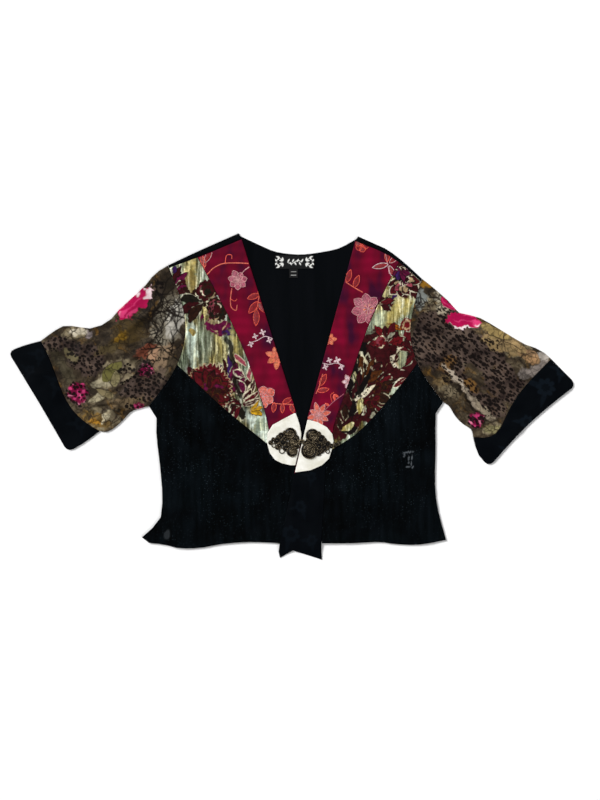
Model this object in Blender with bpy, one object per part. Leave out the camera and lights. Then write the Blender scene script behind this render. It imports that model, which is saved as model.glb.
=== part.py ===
"""Cropped kimono jacket with elbow sleeves, laid flat and closed by a filigree clasp.

The jacket lies on its back on the XY plane: +X to the right of the front, +Y up to the neck,
+Z up from the table. Sizes below are millimetres; the meshes are in metres.
"""

from collections import namedtuple

import bmesh
import bpy
import numpy as np

MM = 0.001

CLOTH = 1.2          # wall of every cloth
LAY_GAP = 0.6        # air between two layers that lie on each other
REST_GAP = 0.3       # air under a piece that is sewn on top of a panel
SEAM_INSET = 0.2     # each panel stops this short of its seam line
SATIN_PATCH = 1.0    # wall of the satin under the clasp
TAPE = 0.8           # wall of the woven label
BEND = CLOTH + LAY_GAP / 2           # outer radius where cloth turns over
LAYER = CLOTH + LAY_GAP              # from the underside of one layer to the next
FRONT_BASE = LAYER                   # underside of the fronts where no fold lifts them
TURN_LEG = 2.5       # flat run of the shoulder strip under its bend
CURVE_STEPS = 16     # straight pieces between two points of a smooth curve

# Sections of each sleeve, armhole to cuff seam: the upper end, the underarm end,
# and how far the line between them bows sideways, most near the end if skew is above 1.
Section = namedtuple("Section", "top_x top_y low_x low_y bow skew")
SLEEVE = {
    "left": [
        Section(-186.0, 196.5, -214.5, -14.3, 40, 1.0),
        Section(-205.5, 183.8, -223.0, -16.6, 34, 1.0),
        Section(-219.0, 167.3, -231.0, -18.9, 28, 1.0),
        Section(-240.0, 147.8, -240.0, -21.8, 22, 1.0),
        Section(-259.5, 129.8, -246.0, -27.5, 15, 1.0),
        Section(-277.0, 111.0, -253.0, -35.0, 8, 1.0),
        Section(-303.0, 102.0, -261.0, -42.8, 2, 1.0),
        Section(-324.0, 105.0, -269.0, -49.0, -4, 1.1),
        Section(-343.0, 105.5, -277.0, -53.0, -9, 1.2),
        Section(-360.0, 95.5, -283.5, -52.8, -13, 1.4),
        Section(-376.5, 83.3, -288.0, -51.8, -17, 1.6),
    ],
    "right": [
        Section(195.0, 176.3, 226.5, -8.3, -32, 1.0),
        Section(208.5, 165.8, 231.0, -11.2, -28, 1.0),
        Section(224.0, 152.5, 235.5, -14.3, -24, 1.0),
        Section(238.0, 139.5, 239.0, -20.0, -19, 1.0),
        Section(250.5, 125.3, 243.5, -27.5, -14, 1.0),
        Section(276.0, 120.0, 249.0, -34.5, -9, 1.0),
        Section(297.0, 109.5, 255.5, -40.5, -4, 1.0),
        Section(322.5, 93.8, 262.5, -45.0, 0, 1.0),
        Section(349.5, 78.0, 268.0, -48.8, 6, 2.0),
        Section(372.0, 69.8, 270.5, -54.0, 13, 3.0),
        Section(388.5, 56.3, 271.5, -60.8, 20, 3.6),
    ],
}
CUFF = {
    "left": [
        Section(-376.5, 83.3, -288.0, -51.8, -17, 1.6),
        Section(-400.0, 77.0, -311.0, -69.0, -8, 1.3),
        Section(-425.6, 67.4, -336.0, -83.6, 0.8, 1.0),
    ],
    "right": [
        Section(388.5, 56.3, 271.5, -60.8, 20, 3.6),
        Section(405.8, 38.7, 279.0, -86.3, 6, 2.2),
        Section(426.0, 18.5, 295.0, -105.0, -5, 1.0),
    ],
}

CUFF_CORNER = 9.0    # radius of a cuff's two outer corners

# Shoulder fold from the neck to the sleeve, and how far the black strip reaches over the front.
Shoulder = namedtuple("Shoulder", "x y reach")
SHOULDER = {
    "left": [
        Shoulder(-79.5, 244.8, 10.0),
        Shoulder(-138.0, 219.0, 9.0),
        Shoulder(-186.0, 196.5, 4.0),
    ],
    "right": [
        Shoulder(99.0, 240.0, 8.0),
        Shoulder(127.5, 227.3, 7.0),
        Shoulder(145.5, 218.5, 6.0),
        Shoulder(168.0, 201.0, 4.5),
        Shoulder(195.0, 176.3, 4.0),
    ],
}

# Edges and seams of the body.
Point = namedtuple("Point", "x y")
NECK = [
    Point(-45.0, 225.5),
    Point(-25.5, 217.5),
    Point(-3.0, 213.8),
    Point(19.5, 213.3),
    Point(49.5, 217.5),
    Point(72.0, 223.0),
]
SIDE = {
    "left": [
        Point(-202.5, -34.0),
        Point(-203.3, -58.0),
        Point(-198.0, -103.0),
        Point(-194.3, -152.0),
        Point(-198.0, -185.0),
        Point(-210.0, -197.5),
        Point(-225.0, -211.0),
    ],
    "right": [
        Point(216.0, -22.0),
        Point(215.3, -80.0),
        Point(214.5, -133.0),
        Point(219.0, -170.0),
        Point(231.0, -215.0),
    ],
}
HEM = {
    "left": [
        Point(-225.0, -211.0),
        Point(-213.0, -220.0),
        Point(-193.5, -221.3),
        Point(-171.0, -227.0),
        Point(-138.0, -227.0),
        Point(-105.0, -221.3),
        Point(-63.0, -218.3),
        Point(-21.0, -219.8),
        Point(20.0, -221.0),
    ],
    "right": [
        Point(44.3, -220.0),
        Point(87.0, -220.0),
        Point(132.0, -218.3),
        Point(154.5, -221.3),
        Point(192.0, -222.0),
        Point(231.0, -215.0),
    ],
}
BACK_HEM_RISE = 3.0  # the back stops this much above the front hem
LAPEL_SHARE = {"left": 0.61, "right": 0.63}    # of the shoulder seam, taken up by the lapel
YOKE_SHARE = {"left": 0.686, "right": 0.658}   # of the armhole, taken up by the yoke
LAPEL_INNER = {
    "left": [Point(6.8, -24.8), Point(15.0, -53.0), Point(15.5, -112.0)],
    "right": [Point(22.5, -34.5), Point(18.0, -53.0), Point(3.0, -116.0)],
}
# Seam between lapel and yoke, below the shoulder and above the slanting seam.
LAPEL_OUTER = {
    "left": [Point(-97.5, 125.0), Point(-70.5, 65.0), Point(-54.0, 18.8), Point(-37.5, -35.0)],
    "right": [Point(142.0, 165.0), Point(112.5, 100.0), Point(81.0, 8.3), Point(63.0, -42.8)],
}
# Slanting seam under the yoke, from the armhole to the foot of the lapel.
SLANT = {
    "left": [Point(-150.0, 27.0), Point(-102.5, -17.3), Point(-31.5, -75.5)],
    "right": [Point(178.5, 36.8), Point(162.0, 15.8), Point(130.5, -21.3), Point(96.0, -56.3),
              Point(58.5, -80.0)],
}
TAIL_TOP = [Point(3.0, -116.0), Point(52.0, -85.0)]
TAIL_OUTER = [Point(3.0, -116.0), Point(-6.0, -163.0), Point(-19.5, -226.0), Point(-18.0, -242.0)]
TAIL_SEAM = [Point(52.0, -85.0), Point(48.0, -155.0), Point(44.3, -220.0), Point(45.0, -244.8)]
TAIL_NOTCH = Point(1.5, -231.0)
TAIL_DROP_FROM = -224.0  # past the hem the tail comes down to the table
TAIL_DROP_TO = -238.0

# The right front closes over the left one: it rises by a layer towards the centre.
CLOSE_FULL_X = 26.0
CLOSE_END_X = 96.0
CLOSE_FULL_Y = -30.0
CLOSE_END_Y = 40.0

# Half-round satin patches under the clasp, a row for each level.
Level = namedtuple("Level", "y from_x to_x")
PATCH = {
    "left": [
        Level(-25.0, 3.5, 5.5),
        Level(-34.0, -13.5, 9.0),
        Level(-42.5, -29.0, 11.5),
        Level(-55.0, -36.8, 14.0),
        Level(-69.0, -37.5, 13.2),
        Level(-84.4, -33.3, 9.5),
        Level(-94.8, -25.5, 7.0),
        Level(-100.0, -15.0, 5.8),
        Level(-103.0, -2.0, 5.0),
    ],
    "right": [
        Level(-35.0, 23.2, 25.5),
        Level(-38.3, 22.4, 38.0),
        Level(-45.8, 20.6, 52.0),
        Level(-56.3, 18.1, 60.5),
        Level(-66.8, 15.6, 62.3),
        Level(-78.8, 12.7, 60.0),
        Level(-93.0, 9.4, 55.5),
        Level(-102.8, 7.0, 45.0),
        Level(-110.3, 5.2, 27.8),
        Level(-113.3, 4.5, 6.5),
    ],
}

# Clasp halves: wire coils placed from the hook, the two or three largest are crowned rosettes.
Coil = namedtuple("Coil", "x y radius")
HOOK = Point(13.5, -66.8)
CLASP_PLATE = 1.4    # metal at the rim of a half
COIL_RISE = 0.25     # crown of a coil above the plate, as a share of its radius
COIL_TRIM = 0.4      # the outline stops this short of the outermost coils
COILS = {
    "left": [
        Coil(-2.9, -1.5, 2.6),
        Coil(-11.8, -2.3, 8.4),
        Coil(-15.6, 9.0, 8.9),
        Coil(-12.8, -15.4, 8.0),
        Coil(-22.5, -10.5, 5.0),
        Coil(-26.8, -1.8, 5.2),
        Coil(-28.7, -14.4, 4.6),
        Coil(-29.5, 8.0, 4.8),
        Coil(-36.0, 0.8, 5.0),
        Coil(-40.8, -6.5, 3.6),
        Coil(-45.4, -2.4, 3.2),
    ],
    "right": [
        Coil(2.9, -1.0, 2.6),
        Coil(13.2, -13.0, 11.6),
        Coil(18.2, 8.1, 9.5),
        Coil(26.7, -8.0, 5.5),
        Coil(30.4, 3.3, 6.0),
        Coil(26.0, -18.0, 4.4),
        Coil(35.0, -10.6, 5.0),
        Coil(39.8, -15.4, 3.5),
        Coil(39.8, -4.2, 4.5),
        Coil(45.6, -7.4, 3.4),
        Coil(51.0, -5.6, 3.2),
        Coil(56.4, -3.4, 2.8),
    ],
}

# Woven label and the small tab under it, on the inside of the back.
Tape = namedtuple("Tape", "x y width height")
LABEL = Tape(3.8, 201.5, 58.0, 20.0)
TAB = Tape(2.3, 184.4, 13.0, 13.0)

# Largest folds: soft ridges that lift the upper layer.
Fold = namedtuple("Fold", "from_x from_y to_x to_y width height")
FOLDS = [
    Fold(-273, 108, -228, 70, 14, 4.0),      # left sleeve, from the dip in its upper edge
    Fold(-325, -16, -226, -7, 12, 6.0),      # left sleeve, roll above the underarm
    Fold(-306, -32, -268, -36, 13, 7.0),     # left sleeve, puff at the cuff seam
    Fold(-333, 70, -258, 13, 22, 4.0),       # left sleeve, middle
    Fold(-213, 150, -198, 40, 16, 3.0),      # left sleeve, beside the armhole
    Fold(226, 43, 299, -34, 9, 7.0),         # right sleeve, long slanting ridge
    Fold(248, 118, 237, 70, 14, 3.0),        # right sleeve, from the dip in its upper edge
    Fold(282, 95, 357, 37, 20, 4.0),         # right sleeve, along its upper side
    Fold(279, 2, 327, -13, 14, 3.0),         # right sleeve, towards the cuff
    Fold(312, -40, 350, -44, 10, 4.0),       # right cuff
    Fold(-393, 40, -348, -20, 16, 3.0),      # left cuff
    Fold(-96, 101, -81, -4, 9, 4.0),         # left yoke, beside the lapel
    Fold(154, 160, 132, 25, 12, 3.0),        # right yoke
    Fold(-163, 28, -157, -88, 14, 4.0),      # left front, below the armhole
    Fold(-193, -155, -213, -208, 12, 4.0),   # left front, flick at the hem corner
    Fold(-171, -150, -153, -232, 16, 6.0),   # left front, wave in the hem
    Fold(-93, -65, -84, -228, 18, 4.0),      # left front, long and shallow
    Fold(154, 46, 159, -65, 13, 4.0),        # right front, below the armhole
    Fold(102, -110, 90, -228, 18, 5.0),      # right front, wave in the hem
    Fold(199, -125, 208, -226, 14, 5.0),     # right front, beside the side seam
]
FOLD_END_SHARE = 0.25    # of a fold's length, over which it fades at each end
EDGE_FADE = 14.0         # folds fade out this near a side seam or sleeve edge

# Counts of quads across and along each kind of panel.
SLEEVE_SECTIONS = 15
CUFF_SECTIONS = 3
CUFF_CORNER_STEPS = 3
TUBE_UPPER = 18
TUBE_UNDER = 6
BEND_STEPS = 4
LAPEL_GRID = (4, 16)
YOKE_GRID = (9, 13)
FRONT_GRID = (18, 15)
TAIL_GRID = (8, 14)
PATCH_ACROSS = 8
CLASP_ACROSS = 10
CLASP_ALONG = 30
STRIP_ALONG = 8
SHOULDER_STEPS = 20
FRONT_ARM_ROWS = 5       # of a front's rows, beside the armhole
FRONT_FOOT_COLUMNS = 4   # of the left front's columns, under the lapel's foot
BACK_SHOULDER_STEPS = 12
BACK_ARMHOLE_STEPS = 22
BACK_EDGE_STEP = 10.0    # spacing of the points round the rest of the back

FINISHES = {
    "black_crepe": ((0.006, 0.007, 0.009), 0.8, 0.0),
    "glitter_crepe": ((0.006, 0.008, 0.010), 0.6, 0.0),
    "figured_satin": ((0.007, 0.007, 0.008), 0.45, 0.0),
    "burgundy_satin": ((0.105, 0.007, 0.020), 0.45, 0.0),
    "burnout_velvet": ((0.110, 0.045, 0.035), 0.6, 0.0),
    "printed_chiffon": ((0.150, 0.125, 0.095), 0.6, 0.0),
    "ivory_satin": ((0.800, 0.780, 0.680), 0.4, 0.0),
    "aged_bronze": ((0.130, 0.090, 0.055), 0.4, 1.0),
    "woven_tape": ((0.010, 0.010, 0.011), 0.7, 0.0),
}


def smooth(share):
    """Ease from 0 to 1 with a flat start and end."""
    share = np.clip(share, 0.0, 1.0)
    return share * share * (3.0 - 2.0 * share)


def spline(knots, places):
    """Smooth curve through the knots, read at places counted in knots."""
    knots = np.vstack([2 * knots[0] - knots[1], knots, 2 * knots[-1] - knots[-2]])
    first = np.clip(places.astype(int), 0, len(knots) - 4)
    share = (places - first)[:, None]
    a, b, c, d = [knots[first + step] for step in range(4)]
    bend = 2 * a - 5 * b + 4 * c - d + share * (3 * (b - c) + d - a)
    return b + 0.5 * share * (c - a + share * bend)


def run(points, count):
    """Points at even distances along the smooth curve through the given points."""
    knots = np.array([point[:2] for point in points], float)
    last = len(knots) - 1
    curve = spline(knots, np.linspace(0, last, CURVE_STEPS * last + 1))
    walked = np.concatenate([[0], np.cumsum(np.linalg.norm(np.diff(curve, axis=0), axis=1))])
    wanted = np.linspace(0, walked[-1], count + 1)
    return np.stack([np.interp(wanted, walked, curve[:, axis]) for axis in (0, 1)], axis=1)


def joined(*runs):
    """One edge from several runs that share their end points."""
    return np.vstack([runs[0]] + [part[1:] for part in runs[1:]])


def section_line(section, share):
    """Points of a section at the given shares of its length."""
    share = np.asarray(share, float)[:, None]
    top = np.array([section.top_x, section.top_y])
    chord = np.array([section.low_x, section.low_y]) - top
    sideways = np.array([-chord[1], chord[0]]) / np.linalg.norm(chord)
    return top + share * chord + section.bow * np.sin(np.pi * share ** section.skew) * sideways


def sections_between(rows, count):
    """The table's sections, filled in smoothly to the given number of steps."""
    filled = spline(np.array(rows, float), np.linspace(0, len(rows) - 1, count + 1))
    return [Section(*values) for values in filled]


def cuff_sections(side):
    """Sections of a cuff from its seam out, the last ones drawn in to round its outer corners."""
    seam, edge = CUFF[side][0], CUFF[side][-1]
    corner = CUFF_CORNER / np.hypot(edge.top_x - seam.top_x, edge.top_y - seam.top_y)
    turn = np.linspace(0, np.pi / 2, CUFF_CORNER_STEPS + 1)
    straight = np.linspace(0, 1 - corner, CUFF_SECTIONS + 1)[:-1]
    share = np.concatenate([straight, 1 - corner * (1 - np.sin(turn))])
    drawn = np.concatenate([np.zeros(len(straight)), CUFF_CORNER * (1 - np.cos(turn))])
    rows = spline(np.array(CUFF[side], float), share * (len(CUFF[side]) - 1))
    sections = []
    for values, draw in zip(rows, drawn):
        section = Section(*values)
        chord = np.array([section.low_x - section.top_x, section.low_y - section.top_y])
        x, y = draw * chord / np.linalg.norm(chord)
        sections.append(Section(section.top_x + x, section.top_y + y, section.low_x - x, section.low_y - y,
                                section.bow, section.skew))
    return sections


def armhole(side, start, end, count):
    """Armhole seam between two shares of its length."""
    return section_line(SLEEVE[side][0], np.linspace(start, end, count + 1))


def shoulder_inward(side):
    """Direction in the plane from the shoulder fold into the body."""
    neck = np.array(SHOULDER[side][0][:2])
    tip = np.array(SHOULDER[side][-1][:2])
    along = (tip - neck) / np.linalg.norm(tip - neck)
    inward = np.array([along[1], -along[0]])
    return inward if inward[1] < 0 else -inward


def shoulder_line(side, count, setback=None):
    """Shoulder fold from neck to sleeve, set back by a fixed amount or by the strip's reach."""
    line = run(SHOULDER[side], count)
    if setback is None:
        known = np.array(SHOULDER[side], float)
        setback = np.interp(np.abs(line[:, 0]), np.abs(known[:, 0]), known[:, 2])
    return line + np.reshape(setback, (-1, 1)) * shoulder_inward(side)


def armhole_setback(side, distance):
    """Share of the armhole that lies the given distance below the shoulder fold."""
    first = SLEEVE[side][0]
    return distance / np.hypot(first.top_x - first.low_x, first.top_y - first.low_y)


def yoke_armhole(side, count):
    """The yoke's stretch of the armhole, from the forward shoulder seam down."""
    start = armhole_setback(side, SHOULDER[side][-1].reach)
    return armhole(side, start, YOKE_SHARE[side], count)


def shoulder_seam(side, start, end, count):
    """Forward shoulder seam between two shares of its length, ending on the armhole."""
    seam = shoulder_line(side, SHOULDER_STEPS)
    seam[-1] = yoke_armhole(side, 1)[0]
    place = np.linspace(start, end, count + 1)
    known = np.linspace(0, 1, SHOULDER_STEPS + 1)
    return np.stack([np.interp(place, known, seam[:, axis]) for axis in (0, 1)], axis=1)


def coons(top, bottom, left, right):
    """Grid of plan points between four edges: top and bottom run left to right, sides run down."""
    across = np.linspace(0, 1, len(top))[None, :, None]
    down = np.linspace(0, 1, len(left))[:, None, None]
    ruled = (1 - down) * top[None] + down * bottom[None]
    ruled = ruled + (1 - across) * left[:, None] + across * right[:, None]
    corners = (1 - down) * ((1 - across) * top[0] + across * top[-1])
    corners = corners + down * ((1 - across) * bottom[0] + across * bottom[-1])
    return inset(ruled - corners)


def inset(grid):
    """Draw the four edges of a grid in from their seam lines."""
    grid = grid.copy()
    for edge, inner in ((0, 1), (-1, -2)):
        for view in (grid, grid.transpose(1, 0, 2)):
            step = view[inner] - view[edge]
            length = np.linalg.norm(step, axis=1, keepdims=True)
            view[edge] += SEAM_INSET * step / np.maximum(length, SEAM_INSET)
    return grid


def fold_height(plan):
    """How far the folds lift the upper layer at each plan point."""
    height = np.zeros(plan.shape[:-1])
    for fold in FOLDS:
        start = np.array([fold.from_x, fold.from_y])
        along = np.array([fold.to_x, fold.to_y]) - start
        share = (plan - start) @ along / (along @ along)
        nearest = start + np.clip(share, 0, 1)[..., None] * along
        away = np.linalg.norm(plan - nearest, axis=-1)
        fade = smooth(share / FOLD_END_SHARE) * smooth((1 - share) / FOLD_END_SHARE)
        height = np.maximum(height, fold.height * np.exp(-(away / fold.width) ** 2) * fade)
    return height


def front_lift(plan, closing):
    """Underside of the fronts; the closing side rises to lie over the other."""
    x, y = plan[..., 0], plan[..., 1]
    sides = [np.array(SIDE[side]) for side in ("left", "right")]
    left_x, right_x = [np.interp(-y, -side[:, 1], side[:, 0]) for side in sides]
    near_side = smooth((x - left_x) / EDGE_FADE) * smooth((right_x - x) / EDGE_FADE)
    lift = FRONT_BASE + fold_height(plan) * near_side
    if closing:
        towards = smooth((CLOSE_END_X - x) / (CLOSE_END_X - CLOSE_FULL_X))
        below = smooth((CLOSE_END_Y - y) / (CLOSE_END_Y - CLOSE_FULL_Y))
        lift = lift + LAYER * towards * below
    return lift


def with_height(plan, height):
    """Plan points raised to the given heights."""
    return np.concatenate([plan, np.broadcast_to(height, plan.shape[:-1])[..., None]], axis=-1)


def add_object(name, verts, faces, finish):
    """A named object with its own material, from millimetre points."""
    mesh = bpy.data.meshes.new(name)
    mesh.from_pydata([tuple(vert) for vert in np.asarray(verts) * MM], [], faces)
    body = bmesh.new()
    body.from_mesh(mesh)
    bmesh.ops.recalc_face_normals(body, faces=body.faces)
    bmesh.ops.triangulate(body, faces=body.faces)
    body.to_mesh(mesh)
    body.free()
    colour, roughness, metallic = FINISHES[finish]
    material = bpy.data.materials.new(name + "_" + finish)
    material.use_nodes = True
    shader = material.node_tree.nodes["Principled BSDF"]
    shader.inputs["Base Color"].default_value = (*colour, 1.0)
    shader.inputs["Roughness"].default_value = roughness
    shader.inputs["Metallic"].default_value = metallic
    mesh.materials.append(material)
    thing = bpy.data.objects.new(name, mesh)
    thing.parent = JACKET
    bpy.context.scene.collection.objects.link(thing)


def shell(name, outer, inner, finish, wraps=False):
    """Closed wall between two grids of points; a wrapped one is a tube, open at both ends."""
    rows, columns = outer.shape[:2]
    verts = np.concatenate([outer.reshape(-1, 3), inner.reshape(-1, 3)])
    number = np.arange(rows * columns).reshape(rows, columns)
    if wraps:
        number = np.hstack([number, number[:, :1]])
    skin = rows * columns
    faces = []
    for j in range(number.shape[0] - 1):
        for i in range(number.shape[1] - 1):
            quad = [number[j, i], number[j, i + 1], number[j + 1, i + 1], number[j + 1, i]]
            faces.append(quad)
            faces.append([corner + skin for corner in reversed(quad)])
    rims = [number[0], number[-1]]
    if not wraps:
        rims += [number[:, 0], number[:, -1]]
    for rim in rims:
        for a, b in zip(rim[:-1], rim[1:]):
            faces.append([a, b, b + skin, a + skin])
    add_object(name, verts, [[int(corner) for corner in face] for face in faces], finish)


def flat_sheet(name, outline, under, wall, finish):
    """Flat piece of cloth from its outline."""
    count = len(outline)
    verts = np.vstack([with_height(outline, under), with_height(outline, under + wall)])
    faces = [list(range(count))[::-1], list(range(count, 2 * count))]
    for a in range(count):
        b = (a + 1) % count
        faces.append([a, b, b + count, a + count])
    add_object(name, verts, faces, finish)


def spaced(points, step):
    """Smooth curve with points about one step apart."""
    length = np.linalg.norm(np.diff(np.array([p[:2] for p in points]), axis=0), axis=1).sum()
    return run(points, max(1, int(round(length / step))))


def make_back():
    """Whole back, flat on the table, from the neck and shoulder folds to the hem."""
    setback = BEND + TURN_LEG + 2 * SEAM_INSET
    edges = {}
    for side in ("left", "right"):
        start = armhole_setback(side, setback)
        seam = armhole(side, start, 1.0, BACK_ARMHOLE_STEPS)
        shoulder = shoulder_line(side, BACK_SHOULDER_STEPS, setback)
        shoulder[-1] = seam[0]
        below = spaced([Point(*seam[-1])] + SIDE[side], BACK_EDGE_STEP)
        edges[side] = joined(shoulder, seam, below)
    neck_left, neck_right = edges["left"][0], edges["right"][0]
    neck = spaced([Point(*neck_left)] + NECK + [Point(*neck_right)], BACK_EDGE_STEP)
    hem = spaced(HEM["left"] + HEM["right"], BACK_EDGE_STEP)
    hem[1:-1, 1] += BACK_HEM_RISE
    outline = np.vstack([neck[:-1], edges["right"][:-1], hem[::-1][:-1], edges["left"][::-1][:-1]])
    closed = np.vstack([outline[-1:], outline, outline[:1]])
    along = closed[2:] - closed[:-2]
    inward = np.stack([along[:, 1], -along[:, 0]], axis=1)
    outline = outline + SEAM_INSET * inward / np.linalg.norm(inward, axis=1, keepdims=True)
    flat_sheet("back", outline, 0.0, CLOTH, "black_crepe")


def make_shoulder(side):
    """Black strip: from the back's edge round the shoulder fold and over to the forward seam."""
    fold = shoulder_line(side, STRIP_ALONG, 0.0)
    fold[0] += SEAM_INSET * (fold[1] - fold[0]) / np.linalg.norm(fold[1] - fold[0])
    fold[-1] -= 2 * SEAM_INSET * (fold[-1] - fold[-2]) / np.linalg.norm(fold[-1] - fold[-2])
    seam = shoulder_line(side, STRIP_ALONG)
    reach = np.linalg.norm(seam - shoulder_line(side, STRIP_ALONG, 0.0), axis=1) - SEAM_INSET
    inward = shoulder_inward(side)
    walls = []
    for radius in (BEND, BEND - CLOTH):
        turn = np.linspace(-np.pi / 2, np.pi / 2, 2 * BEND_STEPS + 1)
        back_from = np.concatenate([[BEND + TURN_LEG], BEND - radius * np.cos(turn), [0.0]])
        height = np.concatenate([[BEND - radius], BEND + radius * np.sin(turn), [BEND + radius]])
        rows = []
        for point, far in zip(fold, reach):
            back_from[-1] = far
            rows.append(with_height(point + back_from[:, None] * inward, height))
        walls.append(np.array(rows))
    shell("shoulder_" + side, walls[0], walls[1], "black_crepe")


def tube_walls(sections):
    """Outer and inner skin of a flattened tube: flat below, lifted by folds above."""
    walls = ([], [])
    for section in sections:
        length = np.hypot(section.top_x - section.low_x, section.top_y - section.low_y)
        edge = BEND / length
        under = np.linspace(edge, 1 - edge, TUBE_UNDER + 1)
        upper = np.linspace(1 - edge, edge, TUBE_UPPER + 1)
        turn = np.linspace(-np.pi / 2, np.pi / 2, BEND_STEPS + 1)[1:-1]
        for wall, radius in zip(walls, (BEND, BEND - CLOTH)):
            out = radius * np.cos(turn) / length
            share = np.concatenate([under, 1 - edge + out, upper, edge - out])
            plan = section_line(section, share)
            height = np.concatenate([
                np.full(len(under), BEND - radius),
                BEND + radius * np.sin(turn),
                np.full(len(upper), BEND + radius),
                BEND - radius * np.sin(turn),
            ])
            first = len(under) + len(turn)
            top = slice(first, first + len(upper))
            near_edge = smooth((upper - edge) * length / EDGE_FADE)
            near_edge = near_edge * smooth((1 - edge - upper) * length / EDGE_FADE)
            height[top] += fold_height(plan[top]) * near_edge
            wall.append(with_height(plan, height))
    walls = [np.array(wall) for wall in walls]
    for wall in walls:
        for edge, inner in ((0, 1), (-1, -2)):
            step = (wall[inner] - wall[edge])[:, :2]
            wall[edge, :, :2] += SEAM_INSET * step / np.linalg.norm(step, axis=1, keepdims=True)
    return walls


def make_sleeve_and_cuff(side):
    """Sleeve from the armhole to the cuff seam, and the cuff beyond it."""
    outer, inner = tube_walls(sections_between(SLEEVE[side], SLEEVE_SECTIONS))
    shell("sleeve_" + side, outer, inner, "printed_chiffon", wraps=True)
    outer, inner = tube_walls(cuff_sections(side))
    shell("cuff_" + side, outer, inner, "figured_satin", wraps=True)


def lapel_outer(side, count):
    """Seam between lapel and yoke, from the shoulder to the slanting seam."""
    share = LAPEL_SHARE[side]
    top = shoulder_seam(side, share, 1.0, 1)[0]
    return run([Point(*top)] + LAPEL_OUTER[side] + [SLANT[side][-1]], count)


def make_lapel(side):
    """Neck band from the shoulder seam down to its slanting foot."""
    across, down = LAPEL_GRID
    top = shoulder_seam(side, 0.0, LAPEL_SHARE[side], across)
    inner = run([Point(*top[0])] + LAPEL_INNER[side], down)
    outer = lapel_outer(side, down)
    foot = run([LAPEL_INNER[side][-1], SLANT[side][-1]], across)
    plan = coons(top, foot, inner, outer)
    under = front_lift(plan, side == "right")
    shell("lapel_" + side, with_height(plan, under + CLOTH), with_height(plan, under), "burgundy_satin")


def make_yoke(side):
    """Upper front between lapel, shoulder, armhole and slanting seam."""
    across, down = YOKE_GRID
    top = shoulder_seam(side, LAPEL_SHARE[side], 1.0, across)
    inner = lapel_outer(side, down)
    outer = yoke_armhole(side, down)
    bottom = run([Point(*outer[-1])] + SLANT[side], across)[::-1]
    plan = coons(top, bottom, inner, outer)
    under = front_lift(plan, side == "right")
    shell("yoke_" + side, with_height(plan, under + CLOTH), with_height(plan, under), "burnout_velvet")


def make_front(side):
    """Lower front from the slanting seam to the hem."""
    across, down = FRONT_GRID
    seam = armhole(side, YOKE_SHARE[side], 1.0, FRONT_ARM_ROWS)
    outer = joined(seam, run([Point(*seam[-1])] + SIDE[side], down - FRONT_ARM_ROWS))
    slant = [Point(*seam[0])] + SLANT[side]
    if side == "left":
        foot = run([SLANT[side][-1], LAPEL_INNER[side][-1]], FRONT_FOOT_COLUMNS)
        top = joined(run(slant, across - FRONT_FOOT_COLUMNS), foot)
        inner = run([LAPEL_INNER[side][-1], HEM[side][-1]], down)
        hem = run(HEM[side], across)
    else:
        top = run(slant + [TAIL_TOP[-1]], across)
        inner = run(TAIL_SEAM[:-1], down)
        hem = run(HEM[side][::-1], across)
    plan = coons(top, hem, outer, inner)
    under = front_lift(plan, side == "right")
    shell("front_" + side, with_height(plan, under + CLOTH), with_height(plan, under), "glitter_crepe")


def make_tail():
    """Closing band with a swallowtail end that hangs past the hem."""
    across, down = TAIL_GRID
    half = across // 2
    top = run(TAIL_TOP, across)
    bottom = joined(run([TAIL_OUTER[-1], TAIL_NOTCH], half), run([TAIL_NOTCH, TAIL_SEAM[-1]], half))
    plan = coons(top, bottom, run(TAIL_OUTER, down), run(TAIL_SEAM, down))
    drop = smooth((TAIL_DROP_FROM - plan[..., 1]) / (TAIL_DROP_FROM - TAIL_DROP_TO))
    under = front_lift(plan, True) * (1 - drop)
    shell("front_tail", with_height(plan, under + CLOTH), with_height(plan, under), "figured_satin")


def patch_top(plan, side):
    """Upper face of a satin patch."""
    return front_lift(plan, side == "right") + CLOTH + REST_GAP + SATIN_PATCH


def make_patch(side):
    """Half-round satin patch, laid on the lapel and fronts."""
    share = np.linspace(0, 1, PATCH_ACROSS + 1)[:, None]
    rows = []
    for level in PATCH[side]:
        start = np.array([level.from_x, level.y])
        end = np.array([level.to_x, level.y])
        rows.append(start + share * (end - start))
    plan = np.array(rows)
    top = patch_top(plan, side)
    shell("patch_" + side, with_height(plan, top), with_height(plan, top - SATIN_PATCH), "ivory_satin")


def clasp_edges(coils, along):
    """Lower and upper edge of the coils' common outline at each place along a clasp half."""
    place = along[:, None]
    inside = coils[:, 2] ** 2 - (place - coils[:, 0]) ** 2
    reach = np.sqrt(np.maximum(inside, 0.0))
    low = np.where(inside > 0, coils[:, 1] - reach, np.inf).min(axis=1)
    high = np.where(inside > 0, coils[:, 1] + reach, -np.inf).max(axis=1)
    return low, high


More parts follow.
